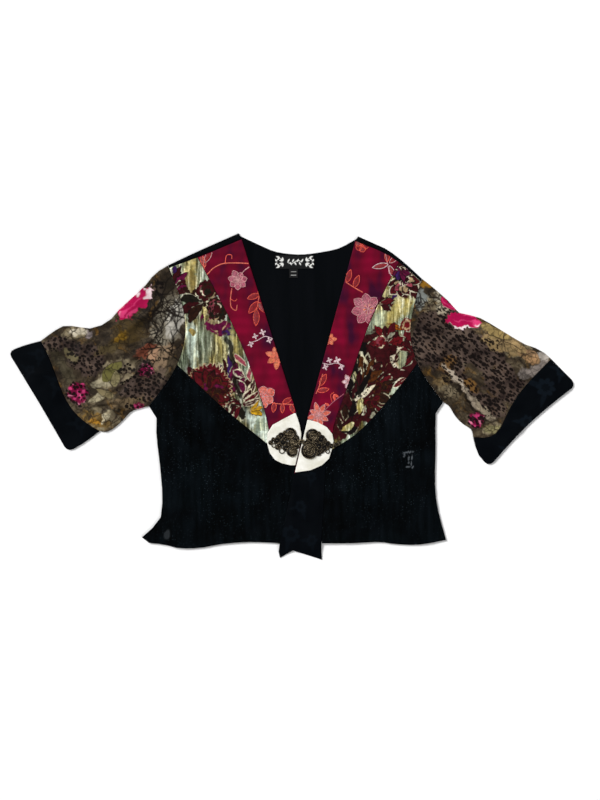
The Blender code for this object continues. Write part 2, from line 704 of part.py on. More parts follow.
def make_clasp(side):
    """Clasp half: a plate with the outline of its coils, each coil crowned."""
    coils = np.array(COILS[side], float)
    first = (coils[:, 0] - coils[:, 2]).min() + COIL_TRIM
    last = (coils[:, 0] + coils[:, 2]).max() - COIL_TRIM
    along = np.linspace(first, last, CLASP_ALONG + 1)
    low, high = clasp_edges(coils, along)
    share = np.linspace(0, 1, CLASP_ACROSS + 1)
    local = np.stack([
        np.repeat(along[:, None], CLASP_ACROSS + 1, axis=1),
        low[:, None] + share * (high - low)[:, None],
    ], axis=-1)
    plan = local + np.array(HOOK)
    under = patch_top(plan, side) + REST_GAP
    crown = np.zeros(local.shape[:-1])
    for x, y, radius in coils:
        away = np.linalg.norm(local - np.array([x, y]), axis=-1)
        crown = np.maximum(crown, COIL_RISE * radius * smooth(1 - away / radius))
    top = under + CLASP_PLATE + crown
    shell("clasp_" + side, with_height(plan, top), with_height(plan, under), "aged_bronze")


def make_tape(name, tape):
    """Rectangle of woven tape on the inside of the back."""
    half = np.array([tape.width, tape.height]) / 2
    corners = np.array([(-1, -1), (1, -1), (1, 1), (-1, 1)]) * half + np.array([tape.x, tape.y])
    flat_sheet(name, corners, CLOTH + REST_GAP, TAPE, "woven_tape")


for old in list(bpy.data.objects):
    bpy.data.objects.remove(old, do_unlink=True)
JACKET = bpy.data.objects.new("kimono_jacket", None)
bpy.context.scene.collection.objects.link(JACKET)

make_back()
for flank in ("left", "right"):
    make_shoulder(flank)
    make_sleeve_and_cuff(flank)
    make_lapel(flank)
    make_yoke(flank)
    make_front(flank)
    make_patch(flank)
    make_clasp(flank)
make_tail()
make_tape("neck_label", LABEL)
make_tape("size_tab", TAB)
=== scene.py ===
# Kimono jacket laid flat: cloth, prints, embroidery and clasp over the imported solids.
import math

import bmesh
import bpy
import numpy as np
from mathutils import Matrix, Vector
from mathutils.bvhtree import BVHTree
from mathutils.kdtree import KDTree


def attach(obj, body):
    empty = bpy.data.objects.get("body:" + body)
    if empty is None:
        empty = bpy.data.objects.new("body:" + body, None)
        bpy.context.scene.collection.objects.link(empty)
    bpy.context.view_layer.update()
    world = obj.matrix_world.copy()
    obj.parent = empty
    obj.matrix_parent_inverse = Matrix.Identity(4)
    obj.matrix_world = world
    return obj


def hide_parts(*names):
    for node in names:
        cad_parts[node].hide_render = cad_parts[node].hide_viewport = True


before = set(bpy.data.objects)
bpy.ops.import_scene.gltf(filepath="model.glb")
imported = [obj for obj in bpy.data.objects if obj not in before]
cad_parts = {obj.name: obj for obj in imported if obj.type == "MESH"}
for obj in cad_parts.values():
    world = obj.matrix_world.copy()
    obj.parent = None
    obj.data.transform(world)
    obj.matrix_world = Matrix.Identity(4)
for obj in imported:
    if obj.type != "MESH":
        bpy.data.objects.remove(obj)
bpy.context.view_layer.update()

mm = 0.001
bothSides = ("left", "right")
upFacing = 0.35  # least upward share of the normals on a piece's upper side
raisedAbove = 2.2  # mm, under the upper side of every panel that lies on the back
aboveAll = 50 * mm  # level that rays come down from
belowAll = -10 * mm  # level that they go up from

# Small tools for colours, nodes and soft shapes


def linear(hexText):
    values = []
    for place in (1, 3, 5):
        share = int(hexText[place:place + 2], 16) / 255
        values.append(share / 12.92 if share <= 0.04045 else ((share + 0.055) / 1.055) ** 2.4)
    return (*values, 1.0)


socketNames = {"colour": "Base Color", "roughness": "Roughness", "metallic": "Metallic", "normal": "Normal",
               "specular": "Specular IOR Level", "sheen": "Sheen Weight"}


def setSockets(tree, node, inputs):
    # each socket takes another node's output, a colour as hex text or a plain value
    for name, value in inputs.items():
        socket = node.inputs[socketNames.get(name, name)]
        if isinstance(value, bpy.types.NodeSocket):
            tree.links.new(value, socket)
        elif isinstance(value, str):
            socket.default_value = linear(value)
        else:
            socket.default_value = value


def add(tree, kind, inputs=None, out=0, stops=None, **settings):
    # stops of a colour ramp: the lowest, the highest, then any between
    node = tree.nodes.new("ShaderNode" + kind)
    for name, value in settings.items():
        setattr(node, name, value)
    setSockets(tree, node, inputs or {})
    for place, (position, hexText) in enumerate(stops or ()):
        points = node.color_ramp.elements
        point = points[place] if place < 2 else points.new(position)
        point.position = position
        point.color = linear(hexText)
    return node.outputs[out]


def newMaterial(name, **sockets):
    material = bpy.data.materials.new(name)
    material.use_nodes = True
    tree = material.node_tree
    shader = tree.nodes["Principled BSDF"]
    setSockets(tree, shader, sockets)
    place = add(tree, "TexCoord", out="Object")
    return material, tree, shader, place


def per(size):
    return 1 / (size * mm)  # texture scale for features of that many mm


def towards(angle):
    # one step in the plan at that angle in degrees
    return np.array([math.cos(math.radians(angle)), math.sin(math.radians(angle))])


def ramp(value, low, high):
    share = np.clip((value - low) / (high - low), 0, 1)
    return share * share * (3 - 2 * share)


noiseCells = 61  # along each side before the noise repeats
noiseShift = (500.37, 500.71)  # in cells, so that none is below zero


def softNoise(x, y, size, seed):
    # smooth noise from -1 to 1 on cells of that many mm
    table = np.random.default_rng(seed).uniform(-1, 1, (noiseCells, noiseCells))
    u = x / size + noiseShift[0]
    v = y / size + noiseShift[1]
    column = np.floor(u).astype(int)
    line = np.floor(v).astype(int)
    u = ramp(u - column, 0, 1)
    v = ramp(v - line, 0, 1)

    def corner(a, b):
        return table[(column + a) % noiseCells, (line + b) % noiseCells]

    low = corner(0, 0) * (1 - u) + corner(1, 0) * u
    high = corner(0, 1) * (1 - u) + corner(1, 1) * u
    return low * (1 - v) + high * v


def throughPoints(points, steps):
    # smooth curve through given plan points
    knots = np.array([points[0], *points, points[-1]], float)
    line = []
    for a, b, c, d in zip(knots, knots[1:], knots[2:], knots[3:]):
        t = np.linspace(0, 1, steps, endpoint=False)[:, None]
        line.append(0.5 * (2 * b + (c - a) * t + (2 * a - 5 * b + 4 * c - d) * t ** 2
                           + (3 * b - a - 3 * c + d) * t ** 3))
    line.append(knots[-1:])
    return np.concatenate(line)


steepFlank = 0.75
gentleFlank = 1.35  # both are shares of a crease's half width


def creased(x, y, rows):
    # rows: x, y of both ends, half width and rise in mm
    height = np.zeros_like(x)
    for x0, y0, x1, y1, width, rise in rows:
        length = math.hypot(x1 - x0, y1 - y0)
        along = ((x - x0) * (x1 - x0) + (y - y0) * (y1 - y0)) / length
        across = ((y - y0) * (x1 - x0) - (x - x0) * (y1 - y0)) / length
        across = across + width * 0.8 * softNoise(along, across * 0.3, length * 0.35, int(abs(x0 + y1)))
        flank = width * np.where(across > 0, steepFlank, gentleFlank)
        ends = ramp(along, -0.12 * length, 0.3 * length) * (1 - ramp(along, 0.7 * length, 1.12 * length))
        height += rise * np.exp(-(across / flank) ** 2) * ends
    return height


# The plan of a print: places in mm, one colour and cover for each point


def blankPrint(x, y, warp, seed):
    wander = warp * softNoise(x, y, 14, seed)
    sway = warp * softNoise(x, y, 14, seed + 1)
    return {"x": x + wander, "y": y + sway, "colour": np.zeros((len(x), 3)), "cover": np.zeros(len(x))}


def stamp(layer, mask, hexText):
    colour = np.array(linear(hexText)[:3])
    mask = np.clip(mask, 0, 1)
    cover = layer["cover"] + mask - layer["cover"] * mask
    share = np.where(cover > 0, mask / np.maximum(cover, 1e-6), 0)[:, None]
    layer["colour"] = layer["colour"] * (1 - share) + colour * share
    layer["cover"] = cover


def tornCopy(layer, seed, *steps):
    # the same plan with uneven edges; each step is a cell size and a reach in mm
    copy = dict(layer)
    for size, reach in steps:
        copy["x"] = copy["x"] + reach * softNoise(layer["x"], layer["y"], size, seed)
        copy["y"] = copy["y"] + reach * softNoise(layer["x"], layer["y"], size, seed + 1)
        seed = seed + 2
    return copy


def turned(layer, x, y, angle):
    c, s = towards(angle)
    dx = layer["x"] - x
    dy = layer["y"] - y
    return dx * c + dy * s, dy * c - dx * s


def leafMask(layer, x, y, angle, length, width, edge=0.5, bend=0.0, belly=0.85):
    # a leaf that grows from its root along its angle and bends; a larger belly sits nearer to the tip
    along, across = turned(layer, x, y, angle)
    share = np.clip(along / length, 0, 1)
    across = across - bend * length * share ** 2
    half = 0.5 * width * np.sin(math.pi * share ** belly) ** 0.85
    inside = np.minimum(half - np.abs(across), np.minimum(along, length - along))
    return ramp(inside, -edge, edge)


def bloomMask(layer, x, y, radius, lobes, depth, angle, edge=0.5):
    # a round flower with lobed rim
    along, across = turned(layer, x, y, angle)
    bearing = np.arctan2(across, along)
    rim = radius * (1 - depth + depth * np.abs(np.sin(lobes * bearing / 2)) ** 0.7)
    return ramp(rim - np.hypot(along, across), -edge, edge)


def moonMask(layer, x, y, angle, radius, thickness, edge=0.5):
    # a crescent that bulges along its angle
    along, across = turned(layer, x, y, angle)
    outer = radius - np.hypot(along, across)
    inner = np.hypot(along + thickness, across) - radius
    return ramp(np.minimum(outer, inner), -edge, edge)


def blobMask(layer, x, y, angle, length, width, soft=0.5):
    # an oval with a broad and a fine unevenness to its edge
    along, across = turned(layer, x, y, angle)
    reach = np.hypot(along / length, across / width)
    reach = reach + 0.22 * softNoise(layer["x"], layer["y"], 9, int(abs(x)))
    reach = reach + 0.14 * softNoise(layer["x"], layer["y"], 3.2, int(abs(y)) + 7)
    return 1 - ramp(reach, 1 - soft, 1 + soft * 0.4)


def dotsMask(layer, x, y, radius, first, last, count, size):
    # beads on an arc
    mask = np.zeros_like(layer["x"])
    for bearing in np.linspace(first, last, count):
        dotX, dotY = (x, y) + radius * towards(bearing)
        away = np.hypot(layer["x"] - dotX, layer["y"] - dotY)
        mask = np.maximum(mask, ramp(size - away, -0.4, 0.4))
    return mask


def twigMask(layer, x, y, angle, length, dice, width=2.2, forks=3, bends=3):
    # a crooked branch that forks into thinner ones
    mask = np.zeros_like(layer["x"])
    for part in range(bends):
        heading = angle + dice.uniform(-28, 28)
        along, across = turned(layer, x, y, heading)
        piece = length / bends
        beside = np.hypot(across, along - np.clip(along, 0, piece))
        mask = np.maximum(mask, ramp(0.5 * width - beside, -0.5, 0.5))
        x, y = (x, y) + piece * towards(heading)
        if forks > 1:
            fork = heading + dice.uniform(30, 65) * (1 if part % 2 else -1)
            thinner = twigMask(layer, x, y, fork, 0.62 * length, dice, 0.8 * width, forks - 1)
            mask = np.maximum(mask, thinner)
    return mask


# Cloth skins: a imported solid's upper side is cut finer, smoothed and creased


def putInScene(name, data):
    piece = bpy.data.objects.new(name, data)
    bpy.context.scene.collection.objects.link(piece)
    return piece


def nodeMesh(nodeName):
    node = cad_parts[nodeName]
    bm = bmesh.new()
    bm.from_mesh(node.data)
    bm.transform(node.matrix_world)
    bmesh.ops.remove_doubles(bm, verts=bm.verts, dist=1e-6)
    bm.normal_update()
    return bm


def upperFaces(bm, above):
    return [f for f in bm.faces if f.normal.z > upFacing and f.calc_center_median().z > above * mm]


def gridCut(bm, spacing):
    # even square cuts for a panel whose faces are long slivers
    flat = [e for e in bm.edges if len(e.link_faces) == 2 and e.calc_face_angle(0) < 1e-3]
    bmesh.ops.dissolve_edges(bm, edges=flat, use_verts=False)
    for axis in (Vector((1, 0, 0)), Vector((0, 1, 0))):
        places = [v.co.dot(axis) for v in bm.verts]
        for place in np.arange(min(places) + spacing * mm, max(places), spacing * mm):
            geometry = bm.verts[:] + bm.edges[:] + bm.faces[:]
            bmesh.ops.bisect_plane(bm, geom=geometry, plane_co=axis * place, plane_no=axis)


longShare = 1.35  # an edge of this many spacings is halved


def refine(bm, above, spacing):
    # halve every long edge of the upper side until the points stand that many mm apart
    while True:
        upper = set(upperFaces(bm, above))
        longEdges = [e for e in bm.edges if e.calc_length() > longShare * spacing * mm]
        edges = [e for e in longEdges if any(f in upper for f in e.link_faces)]
        if not edges:
            break
        bmesh.ops.subdivide_edges(bm, edges=edges, cuts=1, use_grid_fill=True, use_single_edge=True)
        bmesh.ops.triangulate(bm, faces=[f for f in bm.faces if len(f.verts) > 3])
        bm.normal_update()


sharpAngle = math.radians(50)
rippleWaves = ((1.0, 17, 5), (0.6, 8, 6))  # share of the ripple, wave in mm, seed


def skin(name, nodeName, spacing=0, above=0.0, smoothing=80, creases=(), ripple=0.0, grid=0, low=-0.7,
         fade=6.0):
    # gives the piece, its points' plan and their distance from the upper side's rim, all in mm
    bm = nodeMesh(nodeName)
    if grid:
        gridCut(bm, grid)
    if spacing:
        refine(bm, above, spacing)
    bm.normal_update()
    bm.verts.index_update()
    upper = upperFaces(bm, above)
    onTop = np.zeros(len(bm.verts), bool)
    faceCount = np.zeros(len(bm.verts), int)
    for f in upper:
        for v in f.verts:
            onTop[v.index] = True
            faceCount[v.index] += 1
    linked = np.array([len(v.link_faces) for v in bm.verts])
    inner = onTop & (faceCount == linked)
    mesh = bpy.data.meshes.new(name)
    bm.to_mesh(mesh)
    bm.free()
    points = np.empty(len(mesh.vertices) * 3)
    mesh.vertices.foreach_get("co", points)
    points = points.reshape(-1, 3) / mm
    ends = np.empty(len(mesh.edges) * 2, int)
    mesh.edges.foreach_get("vertices", ends)
    ends = ends.reshape(-1, 2)
    ends = ends[onTop[ends].all(axis=1)]
    both = np.concatenate([ends, ends[:, ::-1]])
    neighbours = np.maximum(np.bincount(both[:, 0], minlength=len(points)), 1)
    height = points[:, 2].copy()
    for _ in range(smoothing):
        mean = np.bincount(both[:, 0], weights=height[both[:, 1]], minlength=len(points)) / neighbours
        height[inner] += 0.5 * (mean[inner] - height[inner])
    rim = KDTree(int((onTop & ~inner).sum()))
    for index, place in enumerate(points[onTop & ~inner]):
        rim.insert((place[0], place[1], 0), index)
    rim.balance()
    reach = np.zeros(len(points))
    for index in np.flatnonzero(inner):
        reach[index] = rim.find((points[index, 0], points[index, 1], 0))[2]
    x = points[:, 0]
    y = points[:, 1]
    extra = creased(x, y, creases)
    for share, size, seed in rippleWaves if ripple else ():
        extra = extra + share * ripple * softNoise(x, y, size, seed)
    extra = np.maximum(extra, low) * ramp(reach, 0.0, fade)
    height[inner] += extra[inner]
    points[:, 2] = height
    mesh.vertices.foreach_set("co", (points * mm).ravel())
    mesh.shade_smooth()
    mesh.set_sharp_from_angle(angle=sharpAngle)
    mesh.update()
    return putInScene(name, mesh), x, y, reach


def keepValues(piece, name, values):
    piece.data.attributes.new(name, "FLOAT", "POINT").data.foreach_set("value", values.astype(np.float32))


def keepPrint(piece, layer):
    colour = np.concatenate([layer["colour"], layer["cover"][:, None]], axis=1)
    place = piece.data.attributes.new("motif", "FLOAT_COLOR", "POINT")
    place.data.foreach_set("color", colour.astype(np.float32).ravel())


def handOver(piece, material, node=None):
    # flat: width and length of a sheet's cut in m; area: its flat area in m2
    if material:
        piece.data.materials.clear()
        piece.data.materials.append(material)
    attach(piece, "root")
    if node:
        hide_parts(node)


# Materials

bandTurn = 20  # radians that a wave texture turns in one unit

# Polyester crepe, woven matt: nearly black with faint upright streaks


def blackCrepe():
    material, tree, shader, place = newMaterial("blackCrepe", roughness=0.85, specular=0.04)
    streaks = add(tree, "Mapping", {"Vector": place, "Scale": (per(26), per(200), 1)})
    shade = add(tree, "TexNoise", {"Vector": streaks, "Scale": 1.0, "Detail": 3.0})
    colour = add(tree, "ValToRGB", {"Fac": shade}, stops=[(0.3, "#020406"), (0.75, "#07090d")])
    # the thread is finer than this 1.4 mm grain
    grain = add(tree, "TexNoise", {"Vector": place, "Scale": per(1.4), "Detail": 2.0})
    bump = add(tree, "Bump", {"Height": grain, "Strength": 0.25, "Distance": 0.4 * mm})
    setSockets(tree, shader, {"colour": colour, "normal": bump})
    return material


# Crinkled crepe with loose glitter: black, with pin points that catch the light


def glitterCrepe():
    material, tree, shader, place = newMaterial("glitterCrepe", specular=0.03)
    crinkle = add(tree, "Mapping", {"Vector": place, "Scale": (per(7), per(60), 1)})
    shade = add(tree, "TexNoise", {"Vector": crinkle, "Scale": 1.0, "Detail": 4.0})
    ground = add(tree, "ValToRGB", {"Fac": shade}, stops=[(0.3, "#010304"), (0.75, "#070c10")])
    # broad clouds, darker and lighter: painted shade of soft folds in the cloth
    cloud = add(tree, "TexNoise", {"Vector": place, "Scale": per(55), "Detail": 3.0, "Distortion": 0.6})
    dim = add(tree, "MapRange", {"Value": cloud, 1: 0.35, 2: 0.65, 3: 0.3, 4: 1.25})
    ground = add(tree, "VectorMath", {0: ground, "Scale": dim}, operation="SCALE")
    # glitter is under 0.5 mm on the cloth, drawn a little wider so that it shows
    cells = add(tree, "TexVoronoi", {"Vector": place, "Scale": per(2.1)}, out="Distance")
    pick = add(tree, "SeparateColor", {"Color": cells.node.outputs["Color"]})
    chosen = add(tree, "MapRange", {"Value": pick, 1: 0.35, 2: 1.0, 3: 0.0, 4: 1.0})
    drift = add(tree, "TexNoise", {"Vector": place, "Scale": per(45), "Detail": 2.0})
    thick = add(tree, "MapRange", {"Value": drift, 1: 0.38, 2: 0.62, 3: 0.12, 4: 1.0})
    chosen = add(tree, "Math", {0: chosen, 1: thick}, operation="MULTIPLY")
    dot = add(tree, "MapRange", {"Value": cells, 1: 0.1, 2: 0.2, 3: 1.0, 4: 0.0})
    glint = add(tree, "Math", {0: dot, 1: chosen}, operation="MULTIPLY")
    ghost = add(tree, "Attribute", out="Fac", attribute_name="ghost")
    ground = add(tree, "Mix", {0: ghost, 6: ground, 7: "#6a7076"}, out=2, data_type="RGBA")
    colour = add(tree, "Mix", {0: glint, 6: ground, 7: "#4c5a64"}, out=2, data_type="RGBA")
    rough = add(tree, "MapRange", {"Value": glint, 1: 0.0, 2: 1.0, 3: 0.88, 4: 0.35})
    bump = add(tree, "Bump", {"Height": shade, "Strength": 0.5, "Distance": 1.2 * mm})
    setSockets(tree, shader, {"colour": colour, "roughness": rough, "normal": bump})
    return material


# Figured satin, black on black: the woven flowers are only a little paler and smoother


def figuredSatin():
    material, tree, shader, place = newMaterial("figuredSatin", specular=0.025)
    figure = add(tree, "Attribute", out="Fac", attribute_name="figure")
    cloud = add(tree, "TexNoise", {"Vector": place, "Scale": per(28), "Detail": 3.0})
    ground = add(tree, "ValToRGB", {"Fac": cloud}, stops=[(0.35, "#020407"), (0.75, "#05080c")])
    colour = add(tree, "Mix", {0: figure, 6: ground, 7: "#0d141b"}, out=2, data_type="RGBA")
    rough = add(tree, "MapRange", {"Value": figure, 1: 0.0, 2: 1.0, 3: 0.62, 4: 0.45})
    # the weave is too fine to show, so this is its unevenness, in bands 14 mm wide
    weave = add(tree, "TexWave", {"Vector": place, "Scale": per(2.2) / bandTurn, "Distortion": 0.6},
                bands_direction="Y")
    bump = add(tree, "Bump", {"Height": weave, "Strength": 0.15, "Distance": 0.3 * mm})
    setSockets(tree, shader, {"colour": colour, "roughness": rough, "normal": bump})
    return material


# Satin, crimson over plum: soft upright fields of lighter crimson and darker plum, painted satin sheen and
# painted shade


def burgundySatin():
    material, tree, shader, place = newMaterial("burgundySatin", roughness=0.55, specular=0.03)
    # upright fields, lighter and darker: painted satin sheen and painted shade
    fields = add(tree, "Mapping", {"Vector": place, "Scale": (per(32), per(62), 1)})
    shot = add(tree, "TexNoise", {"Vector": fields, "Scale": 1.0, "Detail": 2.0})
    colour = add(tree, "ValToRGB", {"Fac": shot},
                 stops=[(0.36, "#380b26"), (0.66, "#760828"), (0.49, "#5e0921")])
    # uneven weft, in bands 15 mm wide; the threads are too fine to show
    weft = add(tree, "TexWave", {"Vector": place, "Scale": per(2.4) / bandTurn, "Distortion": 1.2},
               bands_direction="Y")
    dim = add(tree, "MapRange", {"Value": weft, 1: 0.0, 2: 1.0, 3: 0.9, 4: 1.06})
    colour = add(tree, "VectorMath", {0: colour, "Scale": dim}, operation="SCALE")
    bump = add(tree, "Bump", {"Height": weft, "Strength": 0.12, "Distance": 0.3 * mm})
    setSockets(tree, shader, {"colour": colour, "normal": bump})
    return material


# Velvet pile burnt away to a crinkled metal-thread ground: deep matt flowers on mint and gold glints


def burnoutVelvet():
    material, tree, shader, place = newMaterial("burnoutVelvet", specular=0.12)
    crinkle = add(tree, "Mapping", {"Vector": place, "Scale": (per(4.4), per(40), 1)})
    pleat = add(tree, "TexNoise", {"Vector": crinkle, "Scale": 1.0, "Detail": 4.0, "Distortion": 0.7})
    broad = add(tree, "Mapping", {"Vector": place, "Scale": (per(24), per(70), 1)})
    shot = add(tree, "TexNoise", {"Vector": broad, "Scale": 1.0, "Detail": 2.0})
    # the ground runs from dark to pale with the crinkle: painted shade in its hollows, painted highlights on
    # its ridges
    gold = add(tree, "ValToRGB", {"Fac": pleat},
               stops=[(0.32, "#2a2212"), (0.69, "#efe0a0"), (0.5, "#8a7a40")])
    mint = add(tree, "ValToRGB", {"Fac": pleat},
               stops=[(0.32, "#2a2f22"), (0.69, "#f4faee"), (0.5, "#93a083")])
    share = add(tree, "MapRange", {"Value": shot, 1: 0.42, 2: 0.58, 3: 0.0, 4: 1.0})
    ground = add(tree, "Mix", {0: share, 6: mint, 7: gold}, out=2, data_type="RGBA")
    # metal threads are 0.3 mm wide, drawn as 2 mm glints so that they show
    glints = add(tree, "TexNoise", {"Vector": place, "Scale": per(2.0), "Detail": 2.0})
    dim = add(tree, "MapRange", {"Value": glints, 1: 0.3, 2: 0.7, 3: 0.55, 4: 1.2})
    ground = add(tree, "VectorMath", {0: ground, "Scale": dim}, operation="SCALE")
    columns = add(tree, "Mapping", {"Vector": place, "Scale": (per(13), per(90), 1)})
    sway = add(tree, "TexNoise", {"Vector": columns, "Scale": 1.0, "Detail": 2.0})
    dim = add(tree, "MapRange", {"Value": sway, 1: 0.36, 2: 0.64, 3: 0.34, 4: 1.2})
    ground = add(tree, "VectorMath", {0: ground, "Scale": dim}, operation="SCALE")
    motif = add(tree, "Attribute", out="Color", attribute_name="motif")
    cover = motif.node.outputs["Alpha"]
    # pile lighter and darker in 4.5 mm patches: painted sheen where the pile catches the light, painted
    # shade where it does not
    nap = add(tree, "TexNoise", {"Vector": place, "Scale": per(4.5), "Detail": 3.0})
    pileSheenAndShade = add(tree, "MapRange", {"Value": nap, 1: 0.3, 2: 0.7, 3: 0.55, 4: 1.35})
    motif = add(tree, "VectorMath", {0: motif, "Scale": pileSheenAndShade}, operation="SCALE")
    colour = add(tree, "Mix", {0: cover, 6: ground, 7: motif}, out=2, data_type="RGBA")
    # painted pleat shade on the colour, kept sharp where the pile is thin
    bare = add(tree, "MapRange", {"Value": cover, 1: 0.62, 2: 0.95, 3: 1.0, 4: 0.0})
    shadow = add(tree, "MapRange", {"Value": pleat, 1: 0.37, 2: 0.63, 3: 0.64, 4: 1.26})
    shadow = add(tree, "Mix", {0: bare, 2: 1.0, 3: shadow})
    colour = add(tree, "VectorMath", {0: colour, "Scale": shadow}, operation="SCALE")
    metal = add(tree, "MapRange", {"Value": cover, 1: 0.0, 2: 0.6, 3: 0.35, 4: 0.0})
    rough = add(tree, "MapRange", {"Value": cover, 1: 0.0, 2: 0.6, 3: 0.38, 4: 0.92})
    pile = add(tree, "Mix", {0: cover, 2: pleat, 3: 0.95})
    bump = add(tree, "Bump", {"Height": pile, "Strength": 0.6, "Distance": 1.6 * mm})
    setSockets(tree, shader, {"colour": colour, "metallic": metal, "roughness": rough, "normal": bump})
    return material


# Printed chiffon over taffeta: watercolour greys and tans with spots, cracks and pebbles in places


spotFacts = {
    # leopard spots: direction in degrees, length to width, spacing in mm
    "left": {"turn": -30, "stretch": 1.15, "cell": 5.1},
    "right": {"turn": -38, "stretch": 1.8, "cell": 4.1},
}


def printedChiffon(side, turn, stretch, cell):
    material, tree, shader, place = newMaterial("printedChiffon_" + side, roughness=0.62, specular=0.05)
    wash = add(tree, "TexNoise", {"Vector": place, "Scale": per(30), "Detail": 8.0, "Roughness": 0.6,
                                  "Distortion": 0.9})
    ground = add(tree, "ValToRGB", {"Fac": wash},
                 stops=[(0.3, "#17120d"), (0.72, "#6a5f4b"), (0.45, "#2e261d"), (0.57, "#443a2c")])
    tint = add(tree, "TexNoise", {"Vector": place, "Scale": per(24), "Detail": 4.0, "Distortion": 1.4})
    ochre = add(tree, "MapRange", {"Value": tint, 1: 0.56, 2: 0.72, 3: 0.0, 4: 0.55})
    ground = add(tree, "Mix", {0: ochre, 6: ground, 7: "#7c5a24"}, out=2, data_type="RGBA")
    leopard = add(tree, "Attribute", out="Fac", attribute_name="leopard")
    mauve = add(tree, "ValToRGB", {"Fac": wash}, stops=[(0.34, "#221918"), (0.68, "#5e4e46")])
    share = add(tree, "Math", {0: leopard, 1: 0.85}, operation="MULTIPLY")
    ground = add(tree, "Mix", {0: share, 6: ground, 7: mauve}, out=2, data_type="RGBA")
    # pebbles with thin dark outlines
    bent = add(tree, "TexNoise", {"Vector": place, "Scale": per(12), "Detail": 2.0}, out="Color")
    bent = add(tree, "VectorMath", {0: bent, "Scale": 12 * mm}, operation="SCALE")
    bent = add(tree, "VectorMath", {0: place, 1: bent}, operation="ADD")
    stones = add(tree, "TexVoronoi", {"Vector": bent, "Scale": per(22)}, out="Distance",
                 feature="DISTANCE_TO_EDGE")
    pebble = add(tree, "Attribute", out="Fac", attribute_name="pebble")
    tone = add(tree, "MapRange", {"Value": stones, 1: 0.0, 2: 0.4, 3: 0.1, 4: 0.6})
    paler = add(tree, "Math", {0: tone, 1: pebble}, operation="MULTIPLY")
    ground = add(tree, "Mix", {0: paler, 6: ground, 7: "#b5a684"}, out=2, data_type="RGBA")
    motif = add(tree, "Attribute", out="Color", attribute_name="motif")
    cover = motif.node.outputs["Alpha"]
    dim = add(tree, "MapRange", {"Value": wash, 1: 0.32, 2: 0.68, 3: 0.55, 4: 1.1})
    motif = add(tree, "VectorMath", {0: motif, "Scale": dim}, operation="SCALE")
    ground = add(tree, "Mix", {0: cover, 6: ground, 7: motif}, out=2, data_type="RGBA")
    line = add(tree, "MapRange", {"Value": stones, 1: 0.012, 2: 0.045, 3: 0.85, 4: 0.0})
    drawn = add(tree, "Math", {0: line, 1: pebble}, operation="MULTIPLY")
    ground = add(tree, "Mix", {0: drawn, 6: ground, 7: "#33281f"}, out=2, data_type="RGBA")
    # branching cracks, broken in places
    cracks = add(tree, "TexVoronoi", {"Vector": bent, "Scale": per(8.5)}, out="Distance",
                 feature="DISTANCE_TO_EDGE")
    vein = add(tree, "MapRange", {"Value": cracks, 1: 0.04, 2: 0.14, 3: 0.95, 4: 0.0})
    crackle = add(tree, "Attribute", out="Fac", attribute_name="crackle")
    breaks = add(tree, "MapRange", {"Value": tint, 1: 0.36, 2: 0.5, 3: 0.0, 4: 1.0})
    drawn = add(tree, "Math", {0: vein, 1: crackle}, operation="MULTIPLY")
    drawn = add(tree, "Math", {0: drawn, 1: breaks}, operation="MULTIPLY")
    ground = add(tree, "Mix", {0: drawn, 6: ground, 7: "#15110d"}, out=2, data_type="RGBA")
    # leopard spots of uneven size, drawn out along the sleeve
    jitter = add(tree, "TexNoise", {"Vector": place, "Scale": per(4), "Detail": 1.0}, out="Color")
    jitter = add(tree, "VectorMath", {0: jitter, "Scale": 3.2 * mm}, operation="SCALE")
    moved = add(tree, "VectorMath", {0: place, 1: jitter}, operation="ADD")
    moved = add(tree, "VectorRotate", {"Vector": moved, "Angle": math.radians(-turn)},
                rotation_type="Z_AXIS")
    moved = add(tree, "VectorMath", {0: moved, 1: (1 / stretch, 1, 1)}, operation="MULTIPLY")
    spots = add(tree, "TexVoronoi", {"Vector": moved, "Scale": per(cell)}, out="Distance",
                voronoi_dimensions="2D")
    size = add(tree, "SeparateColor", {"Color": spots.node.outputs["Color"]})
    size = add(tree, "MapRange", {"Value": size, 1: 0.0, 2: 1.0, 3: 0.28, 4: 0.63})
    size = add(tree, "Math", {0: size, 1: leopard}, operation="MULTIPLY")
    inside = add(tree, "Math", {0: size, 1: spots}, operation="SUBTRACT")
    spot = add(tree, "MapRange", {"Value": inside, 1: -0.03, 2: 0.09, 3: 0.0, 4: 0.95})
    colour = add(tree, "Mix", {0: spot, 6: ground, 7: "#0d0807"}, out=2, data_type="RGBA")
    # the thread is finer than this 1.6 mm grain
    grain = add(tree, "TexNoise", {"Vector": place, "Scale": per(1.6), "Detail": 2.0})
    bump = add(tree, "Bump", {"Height": grain, "Strength": 0.12, "Distance": 0.4 * mm})
    setSockets(tree, shader, {"colour": colour, "normal": bump})
    return material


# Duchesse satin, ivory: smooth and pale with a little gloss


def ivorySatin():
    material, tree, shader, place = newMaterial("ivorySatin", roughness=0.4, specular=0.4, sheen=0.15)
    cloud = add(tree, "TexNoise", {"Vector": place, "Scale": per(14), "Detail": 3.0})
    colour = add(tree, "ValToRGB", {"Fac": cloud}, stops=[(0.3, "#d9d6c6"), (0.68, "#f4f2ea")])
    # soft bands 16 mm wide, far coarser than the thread
    weft = add(tree, "TexWave", {"Vector": place, "Scale": per(1.8) / bandTurn, "Distortion": 0.8},
               bands_direction="DIAGONAL")
    bump = add(tree, "Bump", {"Height": weft, "Strength": 0.1, "Distance": 0.3 * mm})
    setSockets(tree, shader, {"colour": colour, "normal": bump})
    return material


# Cast bronze, chemically aged: brown-black in the hollows, rubbed paler on the wire


